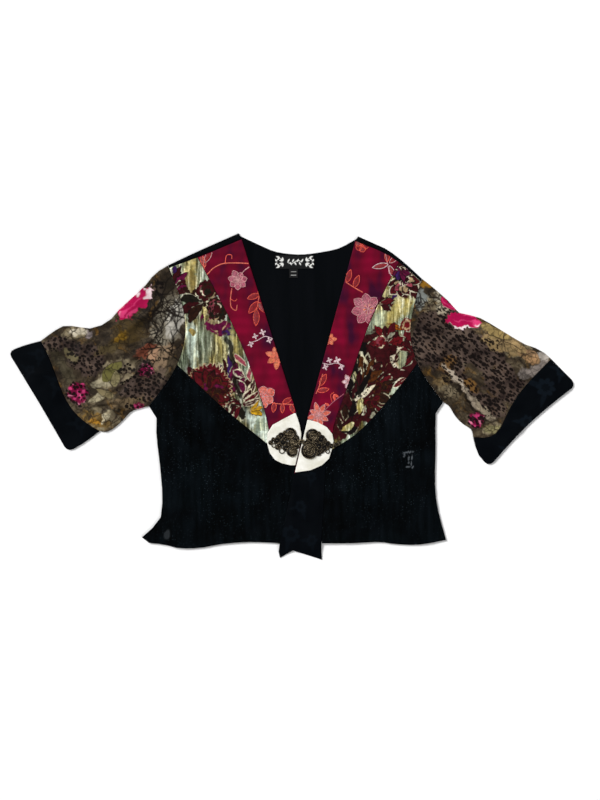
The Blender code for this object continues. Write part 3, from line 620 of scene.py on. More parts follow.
def agedBronze():
    material, tree, shader, place = newMaterial("agedBronze", metallic=0.7)
    worn = add(tree, "TexNoise", {"Vector": place, "Scale": per(2.5), "Detail": 3.0})
    raised = add(tree, "Attribute", out="Fac", attribute_name="raised")
    share = add(tree, "Math", {0: worn, 1: raised}, operation="MULTIPLY")
    colour = add(tree, "ValToRGB", {"Fac": share},
                 stops=[(0.05, "#030202"), (0.66, "#94856a"), (0.4, "#2c2418")])
    rough = add(tree, "MapRange", {"Value": worn, 1: 0.3, 2: 0.7, 3: 0.32, 4: 0.55})
    bump = add(tree, "Bump", {"Height": worn, "Strength": 0.3, "Distance": 0.3 * mm})
    setSockets(tree, shader, {"colour": colour, "roughness": rough, "normal": bump})
    return material


# Woven polyester tape: black ground, white figure thread


def wovenTape():
    material, tree, shader, place = newMaterial("wovenTape", roughness=0.75, specular=0.2)
    motif = add(tree, "Attribute", out="Fac", attribute_name="figure")
    colour = add(tree, "Mix", {0: motif, 6: "#07080a", 7: "#dcdcd8"}, out=2, data_type="RGBA")
    # threads are 0.2 mm wide, drawn as checks of 0.5 mm
    weave = add(tree, "TexChecker", {"Vector": place, "Scale": per(0.5)}, out="Fac")
    bump = add(tree, "Bump", {"Height": weave, "Strength": 0.2, "Distance": 0.2 * mm})
    setSockets(tree, shader, {"colour": colour, "normal": bump})
    return material


# Rayon embroidery thread in satin stitch: glossy, with fine lines across each stroke


def rayonThread(name, hexText):
    material, tree, shader, place = newMaterial("rayonThread_" + name, roughness=0.42, specular=0.35,
                                                sheen=0.15)
    stitch = add(tree, "Attribute", out="Fac", attribute_name="stitch")
    stitchWidth = 0.9  # mm, coarser than real thread so that it shows
    turns = add(tree, "Math", {0: stitch, 1: 2 * math.pi / stitchWidth}, operation="MULTIPLY")
    line = add(tree, "Math", {0: turns}, operation="SINE")
    dim = add(tree, "MapRange", {"Value": line, 1: -1.0, 2: 1.0, 3: 0.72, 4: 1.08})
    colour = add(tree, "RGB")
    colour.default_value = linear(hexText)
    shade = add(tree, "VectorMath", {0: colour, "Scale": dim}, operation="SCALE")
    mottle = add(tree, "TexNoise", {"Vector": place, "Scale": per(2.6), "Detail": 2.0})
    uneven = add(tree, "MapRange", {"Value": mottle, 1: 0.35, 2: 0.65, 3: 0.62, 4: 1.22})
    shade = add(tree, "VectorMath", {0: shade, "Scale": uneven}, operation="SCALE")
    bump = add(tree, "Bump", {"Height": line, "Strength": 0.35, "Distance": 0.2 * mm})
    setSockets(tree, shader, {"colour": shade, "normal": bump})
    return material


crepe = blackCrepe()
glitter = glitterCrepe()
figured = figuredSatin()
burgundy = burgundySatin()
velvet = burnoutVelvet()
chiffons = {side: printedChiffon(side, **spotFacts[side]) for side in bothSides}
ivory = ivorySatin()
bronze = agedBronze()
tape = wovenTape()
print("materials made")

# Back and shoulders

backFacts = {
    "cut": {"grid": 6, "smoothing": 0, "low": -0.35},  # 6 mm between cuts, folds no deeper than 0.35 mm
    "flat": (0.458, 0.468), "area": 0.172,
    "creases": [
        # x, y, x, y, half width, rise
        (-62, 196, -8, -20, 9, 0.35), (-20, 190, 0, 30, 11, -0.3), (22, 180, 12, 10, 9, 0.32),
        (60, 196, 34, 60, 8, 0.3), (-40, 150, -22, 40, 6, -0.3), (44, 150, 24, 20, 6, -0.28),
    ],
}
back = skin("back_crepe", "back", creases=backFacts["creases"], **backFacts["cut"])[0]
handOver(back, crepe, node="back")

stripFacts = {
    "cut": {"spacing": 4, "smoothing": 6},
    "flat": (0.03, 0.118), "area": {"left": 0.00152, "right": 0.00123},
}
for side in bothSides:
    strip = skin("shoulder_strip_" + side, "shoulder_" + side, **stripFacts["cut"])[0]
    handOver(strip, crepe, node="shoulder_" + side)
print("back and shoulders made")

# Lower fronts: glitter crepe with upright crinkles and a few drag lines

frontFacts = {
    "cut": {"spacing": 1.9, "above": raisedAbove, "ripple": 0.22},
    "print": {"warp": 0.8, "seed": 33},  # warp is how far a print wanders, in mm
    # pale marks where the inside shows through: x, y, angle, half length, half width
    "ghost": [
        (-187, -207, 65, 8, 5), (173, -84, 8, 9, 1.4), (168, -89, 80, 3, 1.1), (175, -93, 85, 3, 1.0),
        (180, -92, 85, 4, 1.0), (175, -99, 85, 3, 0.9), (179, -101, 85, 3, 0.9), (174, -105, 10, 4, 1.1),
        (181, -106, 60, 3, 0.9),
    ],
    "left": {
        "flat": (0.25, 0.285), "area": 0.0435, "ghostShare": 0.12,
        "creases": [
            (-150, 20, -168, -120, 7, 1.0), (-128, -10, -120, -190, 6, 0.8),
            (-100, -40, -112, -215, 6, -0.7), (-70, -60, -60, -210, 7, 0.9), (-40, -95, -45, -215, 5, 0.7),
            (-190, -120, -160, -215, 8, 1.1), (-205, -150, -120, -205, 6, 0.8),
            (-14, -120, -22, -215, 5, 0.6), (-172, -10, -196, -150, 6, 0.9),
        ],
    },
    "right": {
        "flat": (0.19, 0.275), "area": 0.035, "ghostShare": 0.5,
        "creases": [
            (150, 20, 168, -120, 7, 1.0), (112, -20, 120, -180, 6, 0.8), (92, -60, 96, -205, 6, 0.9),
            (138, 0, 150, -200, 5, -0.7), (190, -110, 172, -205, 8, 1.0), (70, -90, 74, -205, 5, 0.7),
            (178, -20, 196, -140, 6, 0.8), (128, -120, 200, -185, 7, 0.7),
        ],
    },
}
for side in bothSides:
    facts = frontFacts[side]
    front, x, y = skin("front_crepe_" + side, "front_" + side, creases=facts["creases"],
                       **frontFacts["cut"])[:3]
    layer = blankPrint(x, y, **frontFacts["print"])
    ghost = np.zeros_like(x)
    for cx, cy, angle, length, width in frontFacts["ghost"]:
        ghost = np.maximum(ghost, blobMask(layer, cx, cy, angle, length, width, 0.2))
    keepValues(front, "ghost", facts["ghostShare"] * ghost)
    handOver(front, glitter, node="front_" + side)
print("fronts made")

# Closing band with its swallowtail end, and the two cuffs: black figured satin

satinFacts = {
    "cut": {"spacing": 1.5, "smoothing": 40, "ripple": 0.12},
    "print": {"warp": 1.5, "seed": 31},
    # share is how much of the woven figure shows; flower: x, y, radius, petals, turn
    "front_tail": {
        "flat": (0.07, 0.172), "area": 0.0078, "share": 0.4, "above": 0.6, "restsOn": "front_crepe_right",
        "flowers": [(-2, -206, 13, 7, 10), (14, -165, 9, 6, 40), (30, -120, 8, 6, 15), (30, -215, 9, 6, 30)],
        "creases": [(-4, -130, 6, -225, 5, 0.7), (24, -110, 20, -215, 5, 0.6), (40, -120, 38, -200, 4, 0.5)],
    },
    "cuff_left": {
        "flat": (0.094, 0.36), "area": 0.0157, "share": 0.3, "above": raisedAbove,
        "restsOn": "sleeve_chiffon_left",
        "flowers": [(-378, 62, 9, 6, 20), (-350, 20, 12, 7, 5), (-318, -40, 10, 6, 35), (-392, 40, 8, 5, 0)],
        "creases": [
            (-405, 50, -330, 10, 6, 1.0), (-360, 10, -316, -60, 5, 0.9), (-380, 70, -345, 45, 5, 0.7),
        ],
    },
    "cuff_right": {
        "flat": (0.096, 0.35), "area": 0.0151, "share": 0.8, "above": raisedAbove,
        "restsOn": "sleeve_chiffon_right",
        "flowers": [(380, 14, 15, 8, 10), (352, -38, 11, 7, 30), (325, -84, 9, 6, 0), (404, 40, 9, 6, 15)],
        "creases": [(402, 30, 350, -10, 6, 1.0), (352, -20, 318, -80, 5, 0.9), (392, 10, 340, -50, 5, 0.7)],
    },
}
for nodeName in ("front_tail", "cuff_left", "cuff_right"):
    facts = satinFacts[nodeName]
    piece, x, y = skin(nodeName + "_satin", nodeName, above=facts["above"], creases=facts["creases"],
                       **satinFacts["cut"])[:3]
    layer = blankPrint(x, y, **satinFacts["print"])
    figure = np.zeros_like(x)
    for cx, cy, radius, petals, turn in facts["flowers"]:
        whole = bloomMask(layer, cx, cy, radius, petals, 0.35, turn, 0.7)
        heart = bloomMask(layer, cx, cy, radius * 0.45, petals, 0.3, turn + 20, 0.6)
        figure = np.maximum(figure, whole * (1 - 0.7 * heart))
        for bearing in (turn + 150, turn + 245):
            leaf = leafMask(layer, cx, cy, bearing, radius * 2.2, radius * 0.55, 0.6)
            figure = np.maximum(figure, 0.7 * leaf * (1 - whole))
    keepValues(piece, "figure", facts["share"] * figure)
    handOver(piece, figured, node=nodeName)
print("cuffs and closing band made")

# Yokes: burnt-out velvet

velvetColours = {
    "wine": "#32060b", "burgundy": "#4e0912", "brown": "#241007", "rust": "#472309", "magenta": "#560a31",
    "purple": "#34164f", "cream": "#d8cdb2", "rose": "#8e3d4a", "moss": "#15120a", "orange": "#8f4d10",
    "red": "#5e0a12", "black": "#0b0505", "tan": "#a98f6c", "gold": "#bd8f1c",
}
yokeFacts = {
    "cut": {"spacing": 0.9, "above": raisedAbove, "ripple": 0.15},
    "print": {"warp": 2.6, "seed": 41},
    "narrowWindow": 6,  # mm, windows under this half width are pointed and a little bent, others ragged
    "left": {
        "flat": (0.155, 0.29), "area": 0.0186,
        "creases": [
            (-98, 150, -84, 0, 5, 1.8), (-92, 100, -78, -10, 4, -0.7), (-140, 130, -128, 40, 4, 1.2),
            (-112, 130, -116, 40, 4, 1.2), (-150, 175, -128, 120, 5, 1.2), (-70, 20, -46, -50, 5, 1.2),
            (-134, 60, -96, -20, 6, 1.2), (-122, 96, -124, 46, 3, -0.6), (-104, 92, -106, 50, 3, 1.0),
        ],
        # tints of the bare ground, with narrow painted highlights and painted shade lines among them: x, y,
        # angle, half length, half width, tint
        "groundTintsAndPaintedLight": [
            (-150, 82, 95, 44, 9, "#c6d8c8"), (-130, 76, 92, 44, 9, "#7d846a"),
            (-110, 78, 95, 36, 8, "#988c52"), (-86, 84, 105, 30, 6, "#b7a75f"),
            (-152, 186, 85, 28, 9, "#b59f50"), (-50, -44, 60, 22, 11, "#d0e6d4"),
            (-122, 186, 90, 20, 7, "#8f7f3e"), (-139, 66, 94, 36, 3, "#3c3c2a"),
            (-120, 70, 92, 36, 2.4, "#403a24"), (-164, 92, 80, 44, 3.5, "#1d1910"),
            (-147, 94, 92, 26, 2.6, "#d8e6d8"), (-102, 66, 95, 24, 2.6, "#f3e8ac"),
            (-152, 78, 92, 30, 1.8, "#37362a"), (-129, 74, 92, 30, 1.8, "#35321f"),
            (-111, 74, 92, 30, 1.6, "#332c1a"), (-54, -44, 126, 32, 9, "#e6f7ec"),
            (-155, 188, 84, 22, 3, "#efe2a0"),
        ],
        # velvet fields under the flowers: x, y, angle, half length, half width, colour
        "fields": [
            (-132, 141, 130, 16, 7, "brown"), (-112, 134, 110, 18, 12, "brown"),
            (-118, 8, 150, 34, 20, "wine"), (-92, -6, 150, 16, 10, "wine"),
            (-112, 106, 0, 19, 12, "magenta"), (-146, 33, 150, 18, 9, "wine"), (-62, 0, 130, 16, 8, "wine"),
            (-82, 24, 115, 26, 6, "moss"),
        ],
        # fan of petals: root x, y, first and last angle, count, length, width, bend, colours in turn
        "fans": [
            (-179, 156, 84, 8, 5, 40, 12, -0.24, ("wine", "magenta", "wine", "magenta", "wine")),
            (-180, 184, 40, 40, 1, 15, 9, 0.1, ("purple",)),
            (-134, 139, 130, 226, 4, 36, 15, 0.12, ("brown", "moss", "wine", "brown")),
            (-90, 18, 118, 78, 4, 44, 10, 0.1, ("purple", "wine", "purple", "magenta")),
            (-78, 2, 124, 64, 4, 34, 9, -0.12, ("magenta", "wine", "magenta", "wine")),
            (-112, 2, 34, -52, 7, 30, 7, -0.1, ("wine", "burgundy", "wine")),
            (-75, -12, 148, 236, 5, 24, 8, 0.12, ("wine", "burgundy", "brown")),
            (-75, -14, 278, 278, 1, 22, 10, 0.0, ("moss",)),
            (-62, -20, -34, 40, 3, 20, 9, 0.1, ("gold",)),
        ],
        # bloom: x, y, radius, lobes, turn, outer, middle and inner colour
        "blooms": [
            (-128, 157, 17, 12, 0, "wine", "brown", "moss"),
            (-113, 130, 18, 13, 25, "brown", "moss", "wine"),
            (-124, 13, 37, 34, 10, "tan", "wine", "wine"),
            (-124, 13, 35, 34, 10, "burgundy", "wine", "rust"),
        ],
        # fluted shell: as a fan, with the colour of its edges before its own
        "shells": [
            (-124, 8, 172, -24, 9, 35, 15, 0.06, "brown", ("burgundy", "wine", "burgundy")),
            (-122, 6, 190, -30, 8, 24, 12, -0.06, "rust", ("wine", "burgundy", "magenta")),
            (-120, 0, 200, -60, 7, 15, 9, 0.1, "rust", ("brown", "wine")),
        ],
        # outlined leaf: root x, y, angle, length, width, colour
        "leaves": [
            (-70, 44, 126, 24, 9, "rose"), (-70, 30, 148, 20, 8, "magenta"), (-64, 24, 84, 24, 8, "rose"),
            (-66, 6, 66, 22, 9, "wine"), (-70, 8, 124, 20, 8, "magenta"), (-70, -8, 74, 22, 8, "wine"),
            (-72, -11, 46, 28, 9, "burgundy"), (-73, -13, 22, 28, 8, "wine"),
        ],
        # places where the pile is burnt away: x, y, angle, half length, half width, tint
        "windows": [
            (-50, -46, 60, 14, 9, "#c4dcc6"), (-148, 98, 90, 7, 4, "#c7a54a"),
            (-150, 172, 85, 18, 5, "#b89a48"), (-113, 112, 6, 13, 3, "#c9b48a"),
        ],
        # crescent: x, y, angle, radius, thickness, colour
        "moons": [
            (-130, 158, 170, 8, 4, "cream"), (-122, 152, 330, 7, 3, "tan"), (-112, 131, 20, 8, 4, "cream"),
            (-118, 122, 250, 10, 3, "tan"), (-112, 115, 266, 25, 15, "magenta"),
            (-97, 107, 318, 14, 9, "purple"), (-112, 113, 268, 16, 3.4, "tan"),
        ],
        # dotted arc: x, y, radius, first and last bearing, count, dot size, colour
        "dots": [(-84, -14, 20, 40, 140, 8, 0.9, "cream")],
        # painted shadow of a deep fold: x, y, angle, half length, half width
        "folds": [(-93, 72, 105, 32, 4.6), (-80, 14, 108, 26, 3.6)],
    },
    "right": {
        "flat": (0.14, 0.285), "area": 0.0168,
        "creases": [
            (150, 170, 134, 60, 5, 1.2), (120, 130, 112, 40, 4, -0.6), (140, 110, 146, 40, 4, 1.2),
            (104, 70, 96, -20, 5, 1.3), (86, 30, 78, -50, 5, 1.1), (160, 160, 168, 100, 4, 1.0),
            (128, 40, 120, -30, 4, 1.0),
        ],
        # tints of the bare ground, with two narrow painted shade lines
        "groundTintsAndPaintedLight": [
            (128, 110, 70, 22, 12, "#b9c8ac"), (152, 126, 62, 30, 11, "#c4ae58"),
            (172, 134, 70, 20, 8, "#cdb65c"), (138, 116, 80, 20, 2.6, "#6e6c48"),
            (160, 122, 70, 18, 2.4, "#8b7734"),
        ],
        "fields": [
            (172, 174, 120, 34, 22, "wine"), (140, 140, 150, 14, 9, "wine"), (142, 66, 0, 60, 26, "wine"),
            (116, 40, 70, 58, 34, "wine"), (150, 30, 40, 46, 30, "wine"), (124, 0, 55, 52, 30, "wine"),
            (86, -26, 60, 48, 24, "wine"), (178, 84, 80, 30, 14, "burgundy"), (98, 44, 70, 40, 10, "black"),
        ],
        "fans": [
            (130, 139, 40, -34, 3, 26, 10, 0.1, ("wine", "burgundy", "wine")),
            (150, 143, 56, 56, 1, 15, 7, 0.0, ("purple",)),
            (142, 109, -20, -20, 1, 30, 8, 0.05, ("orange",)),
            (142, 80, 176, 4, 7, 32, 13, 0.14, ("burgundy", "wine", "red", "wine")),
            (182, 62, 128, 236, 5, 28, 9, -0.16, ("wine", "burgundy", "brown")),
            (106, 18, 88, 30, 5, 46, 13, 0.12, ("rust", "brown", "rust", "wine")),
            (128, 6, 78, -8, 6, 42, 12, -0.16, ("wine", "burgundy", "brown")),
            (120, 2, 236, 338, 6, 34, 11, 0.14, ("burgundy", "wine", "brown")),
            (92, -12, 104, 66, 3, 56, 9, -0.08, ("black", "wine", "black")),
            (84, -40, 128, 34, 4, 34, 10, 0.16, ("wine", "brown", "black")),
            (74, -54, 96, 10, 3, 26, 9, 0.1, ("brown", "wine", "black")),
        ],
        "blooms": [
            (173, 107, 10, 12, 0, "red", "tan", "red"), (131, 82, 8, 8, 0, "red", "wine", "red"),
        ],
        "shells": [
            (180, 190, 296, 424, 4, 21, 12, 0.05, "cream", ("wine", "red")),
            (180, 190, 302, 418, 4, 14, 8, 0.05, "wine", ("tan", "rose")),
            (167, 176, 204, 352, 6, 30, 14, -0.03, "cream", ("wine", "burgundy")),
            (167, 176, 208, 348, 6, 21, 10, -0.03, "black", ("tan", "rose", "tan")),
            (167, 176, 214, 342, 5, 12, 8, 0.0, "cream", ("wine", "magenta")),
            (162, 180, 40, 150, 4, 18, 10, 0.06, "cream", ("magenta", "wine")),
            (161, 186, 196, 344, 4, 16, 9, 0.05, "black", ("magenta", "purple", "magenta")),
            (134, 8, 20, 200, 5, 15, 10, 0.1, "rust", ("wine", "brown")),
            (120, -6, 200, 380, 5, 14, 9, 0.1, "rust", ("burgundy", "wine")),
        ],
        "leaves": [(172, 28, 212, 26, 8, "burgundy"), (95, -6, 38, 36, 6, "cream")],
        "windows": [
            (165, 56, 80, 14, 7, "#b4c3a4"), (154, 13, 45, 16, 3.8, "#c3cfb4"),
            (93, 30, 76, 8, 2.4, "#cdbf86"), (104, -14, 72, 13, 4.8, "#cdb95a"),
            (84, -47, 30, 9, 4, "#d6c067"), (150, 91, 20, 7, 2.6, "#d0cdb4"),
            (111, 51, 104, 8, 2, "#d8cdb2"), (104, 63, 70, 3.5, 2.4, "#d8cdb2"),
            (142, 153, 30, 6, 5, "#d8d2a0"), (122, -28, 40, 6, 2.4, "#d8cdb2"),
        ],
        "moons": [
            (173, 107, 60, 8, 2, "cream"), (150, 44, 60, 10, 1.6, "tan"), (92, 2, 20, 9, 2.0, "cream"),
            (167, 57, 178, 18, 6, "cream"),
        ],
        "dots": [
            (166, 57, 15.5, 124, 232, 8, 1.1, "black"), (88, 28, 31, 286, 338, 8, 1.2, "black"),
            (149, 73, 5, 90, 260, 4, 1.0, "black"),
        ],
        "folds": [(96, 20, 108, 40, 1.6)],
    },
}


def paintVelvet(layer, facts):
    x = layer["x"]
    y = layer["y"]
    cream = velvetColours["cream"]
    broken = ramp(softNoise(x, y, 6.5, 71) + 0.4 * softNoise(x, y, 2.5, 72), 0.0, 0.45)
    ragged = tornCopy(layer, 77, (2.4, 1.1))

    def burnAway(mask, tint, share):
        layer["cover"] = layer["cover"] * (1 - mask)
        stamp(layer, share * mask, tint)

    def drawFan(seed, rx, ry, first, last, count, length, width, bend, edge, colours):
        sizes = np.random.default_rng(seed).uniform(0.78, 1.1, count)
        shape = {"bend": bend, "belly": 1.25}
        for step, angle in enumerate(np.linspace(first, last, count)):
            reach = length * sizes[step]
            rim = leafMask(layer, rx, ry, angle, reach * 1.05, width + 2.0, **shape)
            if edge:
                stamp(layer, 0.9 * rim, velvetColours[edge])
            else:
                burnAway(rim * broken, cream, 0.5)
            shadow = leafMask(ragged, rx, ry, angle, reach, width + 0.4, **shape)
            stamp(layer, shadow, velvetColours["black"])
            petal = leafMask(ragged, rx, ry, angle, reach * 0.96, width - 1.8, **shape)
            stamp(layer, petal, velvetColours[colours[step % len(colours)]])
            rib = leafMask(ragged, rx, ry, angle, reach * 0.9, 1.5, bend=bend, belly=1.0)
            stamp(layer, 0.6 * rib, velvetColours["black"])

    # tints of the bare ground, with painted highlights and painted shade lines
    for cx, cy, angle, length, width, tint in facts["groundTintsAndPaintedLight"]:
        stamp(layer, 0.6 * blobMask(ragged, cx, cy, angle, length, width, 0.6), tint)
    for cx, cy, angle, length, width, colour in facts["fields"]:
        stamp(layer, blobMask(ragged, cx, cy, angle, length, width, 0.12), velvetColours[colour])
    for number, row in enumerate(facts["fans"]):
        drawFan(300 + number, *row[:-1], None, row[-1])
    for cx, cy, angle, length, width, tint in facts["windows"]:
        mask = blobMask(ragged, cx, cy, angle, length, width, 0.1)
        if width < yokeFacts["narrowWindow"]:
            rootX, rootY = (cx, cy) - length * towards(angle)
            mask = leafMask(ragged, rootX, rootY, angle, 2 * length, 2.4 * width, bend=0.12, belly=1.1)
        burnAway(mask, tint, 0.4)
    for cx, cy, radius, lobes, turn, outer, middle, inner in facts["blooms"]:
        burnAway(bloomMask(layer, cx, cy, radius + 1.4, lobes, 0.16, turn) * broken, cream, 0.5)
        stamp(layer, bloomMask(ragged, cx, cy, radius, lobes, 0.16, turn), velvetColours[outer])
        # rows of scallops, each a little smaller and turned
        for share, colour, count in ((0.74, middle, 11), (0.5, outer, 8), (0.34, inner, 6)):
            rim = bloomMask(layer, cx, cy, radius * share + 0.8, count, 0.24, turn + 40 * share)
            stamp(layer, rim * 0.6 * broken, velvetColours["rose"])
            petals = bloomMask(ragged, cx + radius * 0.05, cy - radius * 0.04, radius * share, count, 0.24,
                               turn + 40 * share)
            stamp(layer, petals, velvetColours[colour])
    for number, row in enumerate(facts["shells"]):
        drawFan(400 + number, *row)
    for rx, ry, angle, length, width, colour in facts["leaves"]:
        burnAway(leafMask(layer, rx, ry, angle, length * 1.06, width + 2.2), cream, 0.75)
        stamp(layer, leafMask(ragged, rx, ry, angle, length, width - 1.2), velvetColours[colour])
        stamp(layer, leafMask(layer, rx, ry, angle, length * 0.8, 1.0) * 0.5 * broken, cream)
    for cx, cy, angle, radius, thickness, colour in facts["moons"]:
        stamp(layer, moonMask(layer, cx, cy, angle, radius, thickness) * broken, velvetColours[colour])
    for cx, cy, radius, first, last, count, size, colour in facts["dots"]:
        stamp(layer, dotsMask(layer, cx, cy, radius, first, last, count, size), velvetColours[colour])
    # painted shadow along deep folds, in the dark moss colour
    for cx, cy, angle, length, width in facts["folds"]:
        stamp(layer, 0.92 * blobMask(ragged, cx, cy, angle, length, width, 0.4), velvetColours["moss"])


for side in bothSides:
    facts = yokeFacts[side]
    yoke, x, y = skin("yoke_velvet_" + side, "yoke_" + side, creases=facts["creases"],
                      **yokeFacts["cut"])[:3]
    layer = blankPrint(x, y, **yokeFacts["print"])
    paintVelvet(layer, facts)
    keepPrint(yoke, layer)
    handOver(yoke, velvet, node="yoke_" + side)
print("yokes made")

# Sleeves: printed chiffon

chiffonColours = {
    "outline": "#2c231a", "twig": "#17110d", "petal": "#b00d4b", "streak": "#e4477f", "rim": "#f5e6e6",
    "tail": "#f3dfe2", "rosette": "#700d36", "light": "#c23a70", "tip": "#e08aa4",
}
sleeveFacts = {
    "cut": {"spacing": 1.1, "above": raisedAbove, "ripple": 0.35},
    "print": {"warp": 3.0, "seed": 51},
    "tears": ((7, 3.0), (2.6, 1.3)),  # of the washes' edges: cell and reach in mm
    "tearSeed": 97,
    "thinCrackle": 0.55,  # its share on the rest of the sleeve, but not in the spots
    "left": {
        "flat": (0.26, 0.49), "area": 0.0603,
        "creases": [
            (-190, 150, -300, 60, 5.6, 3.2), (-180, 110, -270, 30, 4.8, 3.6),
            (-200, 60, -300, -10, 4.8, 3.2), (-170, 150, -190, 30, 4.8, 2.7),
            (-240, 120, -330, 80, 4.8, -1.6), (-230, 20, -290, -40, 4.8, 3.6),
            (-300, 90, -340, 30, 4.8, 2.8), (-176, 60, -206, -20, 4.8, 3.2), (-260, 140, -320, 120, 4, 2),
            (-262, 112, -240, 60, 4, 3.2), (-330, 30, -290, -20, 4, 3.2), (-352, 60, -316, 8, 4, 2.8),
            (-250, -2, -300, -16, 3.2, 2.8), (-280, -26, -306, -42, 3.2, 3.2),
            (-270, -20, -284, -46, 3.2, 2.8),
        ],
        # soft places: x, y, angle, half length, half width
        "leopard": [
            (-350, 81, 10, 26, 13), (-308, 55, -30, 30, 23), (-217, 15, 5, 42, 21), (-322, 4, 0, 19, 17),
            (-219, 40, 0, 15, 14), (-250, 40, 0, 14, 8), (-238, -14, 0, 16, 6), (-198, 162, 60, 12, 10),
            (-206, 20, 20, 22, 14),
        ],
        "crackle": [(-204, 64, 60, 44, 30)],
        "pebble": [(-262, 34, 30, 30, 22), (-290, -34, 10, 30, 20), (-326, 96, 0, 20, 10)],
        # wash of the print, with a few painted shadows and painted highlights among them: x, y, angle, half
        # length, half width, colour
        "washesAndPaintedLight": [
            (-196, 160, 60, 24, 14, "#2b241c"), (-184, 112, 72, 46, 24, "#8a8271"),
            # the row at (-246, 96) is a painted shadow under the fold of the magenta petal
            (-174, 116, 76, 32, 14, "#c0bbb0"), (-246, 96, 40, 34, 22, "#46381f"),
            (-258, 88, 30, 14, 7, "#8c6a22"), (-217, 68, 30, 17, 9, "#7d4230"),
            (-194, 60, 60, 24, 12, "#947c62"), (-205, 60, 60, 11, 7, "#a98468"),
            # both rows here are painted shade of the folds by the cuff
            (-352, 58, -60, 20, 9, "#352f22"), (-338, 38, -60, 28, 8, "#4d4636"),
            (-318, 97, 0, 14, 6, "#c6bca6"), (-303, 92, 0, 10, 6, "#857a7a"),
            (-278, 24, 10, 22, 7, "#a89e82"), (-288, -2, 20, 18, 5, "#9c9276"),
            (-243, -9, 10, 28, 8, "#75634a"), (-293, -35, -20, 28, 13, "#7d6130"),
            (-294, -37, 0, 10, 6, "#c28a2c"), (-278, -30, 60, 9, 5, "#d4c8a6"),
            (-306, -27, 50, 10, 5, "#4c3f26"), (-232, -26, 20, 10, 4, "#d2cec0"),
            (-276, 70, 20, 26, 8, "#54482f"), (-196, 30, 70, 18, 8, "#5a4c40"),
            (-330, 60, -40, 14, 6, "#6f6648"),
        ],
        # bold petal: x, y, angle, half length, half width, pale along its lower rim, painted highlight at
        # its tail
        "petals": [(-236, 142, 227, 36, 15, 0.35, 0.9)],
        # branching line: root x, y, angle, length
        "twigs": [
            (-157, 84, 122, 58), (-157, 118, 150, 40), (-178, 186, 250, 56), (-204, 172, 268, 50),
            (-196, 76, 96, 44), (-170, 52, 140, 44), (-214, 120, 20, 34), (-164, 146, 230, 30),
        ],
        # rosette: x, y, radius, petals, turn
        "rosettes": [(-219, 40, 12, 7, 0), (-322, 4, 16, 8, 30), (-230, -14, 7, 6, 0)],
        # outlined leaf: x, y, angle, length, width, colour
        "leaves": [
            (-283, 24, 48, 42, 20, "#6b6638"), (-262, 14, 96, 26, 12, "#857b58"),
            (-268, -2, 150, 30, 9, "#786c4e"),
        ],
    },
    "right": {
        "flat": (0.25, 0.47), "area": 0.052,
        "creases": [
            (200, 150, 300, 40, 5.6, 3.2), (190, 110, 262, 10, 4.8, 3.2), (226, 40, 300, -32, 4.8, 4.9),
            (240, 60, 320, 20, 4.8, 2.7), (196, 60, 240, -10, 4.8, 3.2), (230, 130, 330, 90, 4.8, -1.6),
            (280, 90, 360, 60, 4.8, 2.4), (250, -5, 300, -45, 4, 3.2), (300, 60, 350, 10, 4, 2.3),
            (236, 22, 286, -42, 4, 3.2), (216, 20, 252, -22, 4, 2.8), (268, 40, 322, -10, 3.2, 2.4),
            (330, 84, 376, 60, 4, 2.4), (340, 40, 372, 60, 3.2, 2),
        ],
        "leopard": [
            (226, 90, 75, 52, 38), (280, 66, -25, 48, 26), (318, 18, -35, 38, 26), (240, 40, 60, 28, 16),
            (300, -16, -40, 22, 14), (276, -35, 0, 14, 12), (262, 20, -48, 40, 8), (196, 86, 80, 46, 18),
        ],
        "crackle": [(196, 146, 60, 18, 12), (240, 4, 40, 20, 10)],
        "pebble": [
            (330, 78, -25, 44, 17), (214, 142, 30, 24, 15), (302, -46, 0, 16, 10), (230, 20, 40, 14, 10),
        ],
        "washesAndPaintedLight": [
            (201, 169, 0, 10, 7, "#a5741f"), (193, 146, 80, 15, 10, "#868b87"),
            (218, 147, 0, 10, 8, "#c4b9a2"), (227, 131, 20, 11, 8, "#c0b49b"),
            (323, 77, -25, 46, 16, "#9a8158"), (304, 96, -25, 20, 9, "#ad965f"),
            (352, 62, -30, 20, 9, "#ad875f"), (233, 47, 30, 16, 9, "#6c4e2a"),
            (267, 17, -45, 16, 8, "#7f5c30"), (226, 25, 40, 14, 9, "#75603f"),
            (362, 40, 25, 26, 8, "#867c75"), (237, 8, 40, 16, 8, "#7a6e58"),
            # the dark row at (253, 3) is a painted shadow beside the raised ridge fold; the pale rows at
            # (244, 27), (273, -9) and (290, -24) are painted highlights along its top
            (253, 3, -48, 46, 4, "#1a130e"), (244, 27, -52, 28, 5.5, "#b3a593"),
            (273, -9, -47, 28, 5, "#aa9b87"), (302, -49, 10, 13, 7, "#8f875f"),
            (290, -24, -45, 20, 5, "#ab9c84"), (336, 92, -25, 24, 5, "#5d4b34"),
            (250, -8, 45, 16, 5, "#4a3d2b"), (376, 60, -40, 10, 6, "#b3aaa0"),
        ],
        "petals": [(254, 114, -6, 28, 11, 1.0, 0.0), (232, 140, -54, 13, 6, 0.3, 0.0)],
        "twigs": [(188, 160, 290, 22), (206, 150, 330, 20)],
        "rosettes": [(276, -35, 12, 7, 10)],
        "leaves": [
            (296, 100, -24, 40, 15, "#a8905c"), (326, 82, -30, 36, 14, "#a88d62"),
            (350, 72, -34, 26, 11, "#b18d68"),
        ],
    },
}


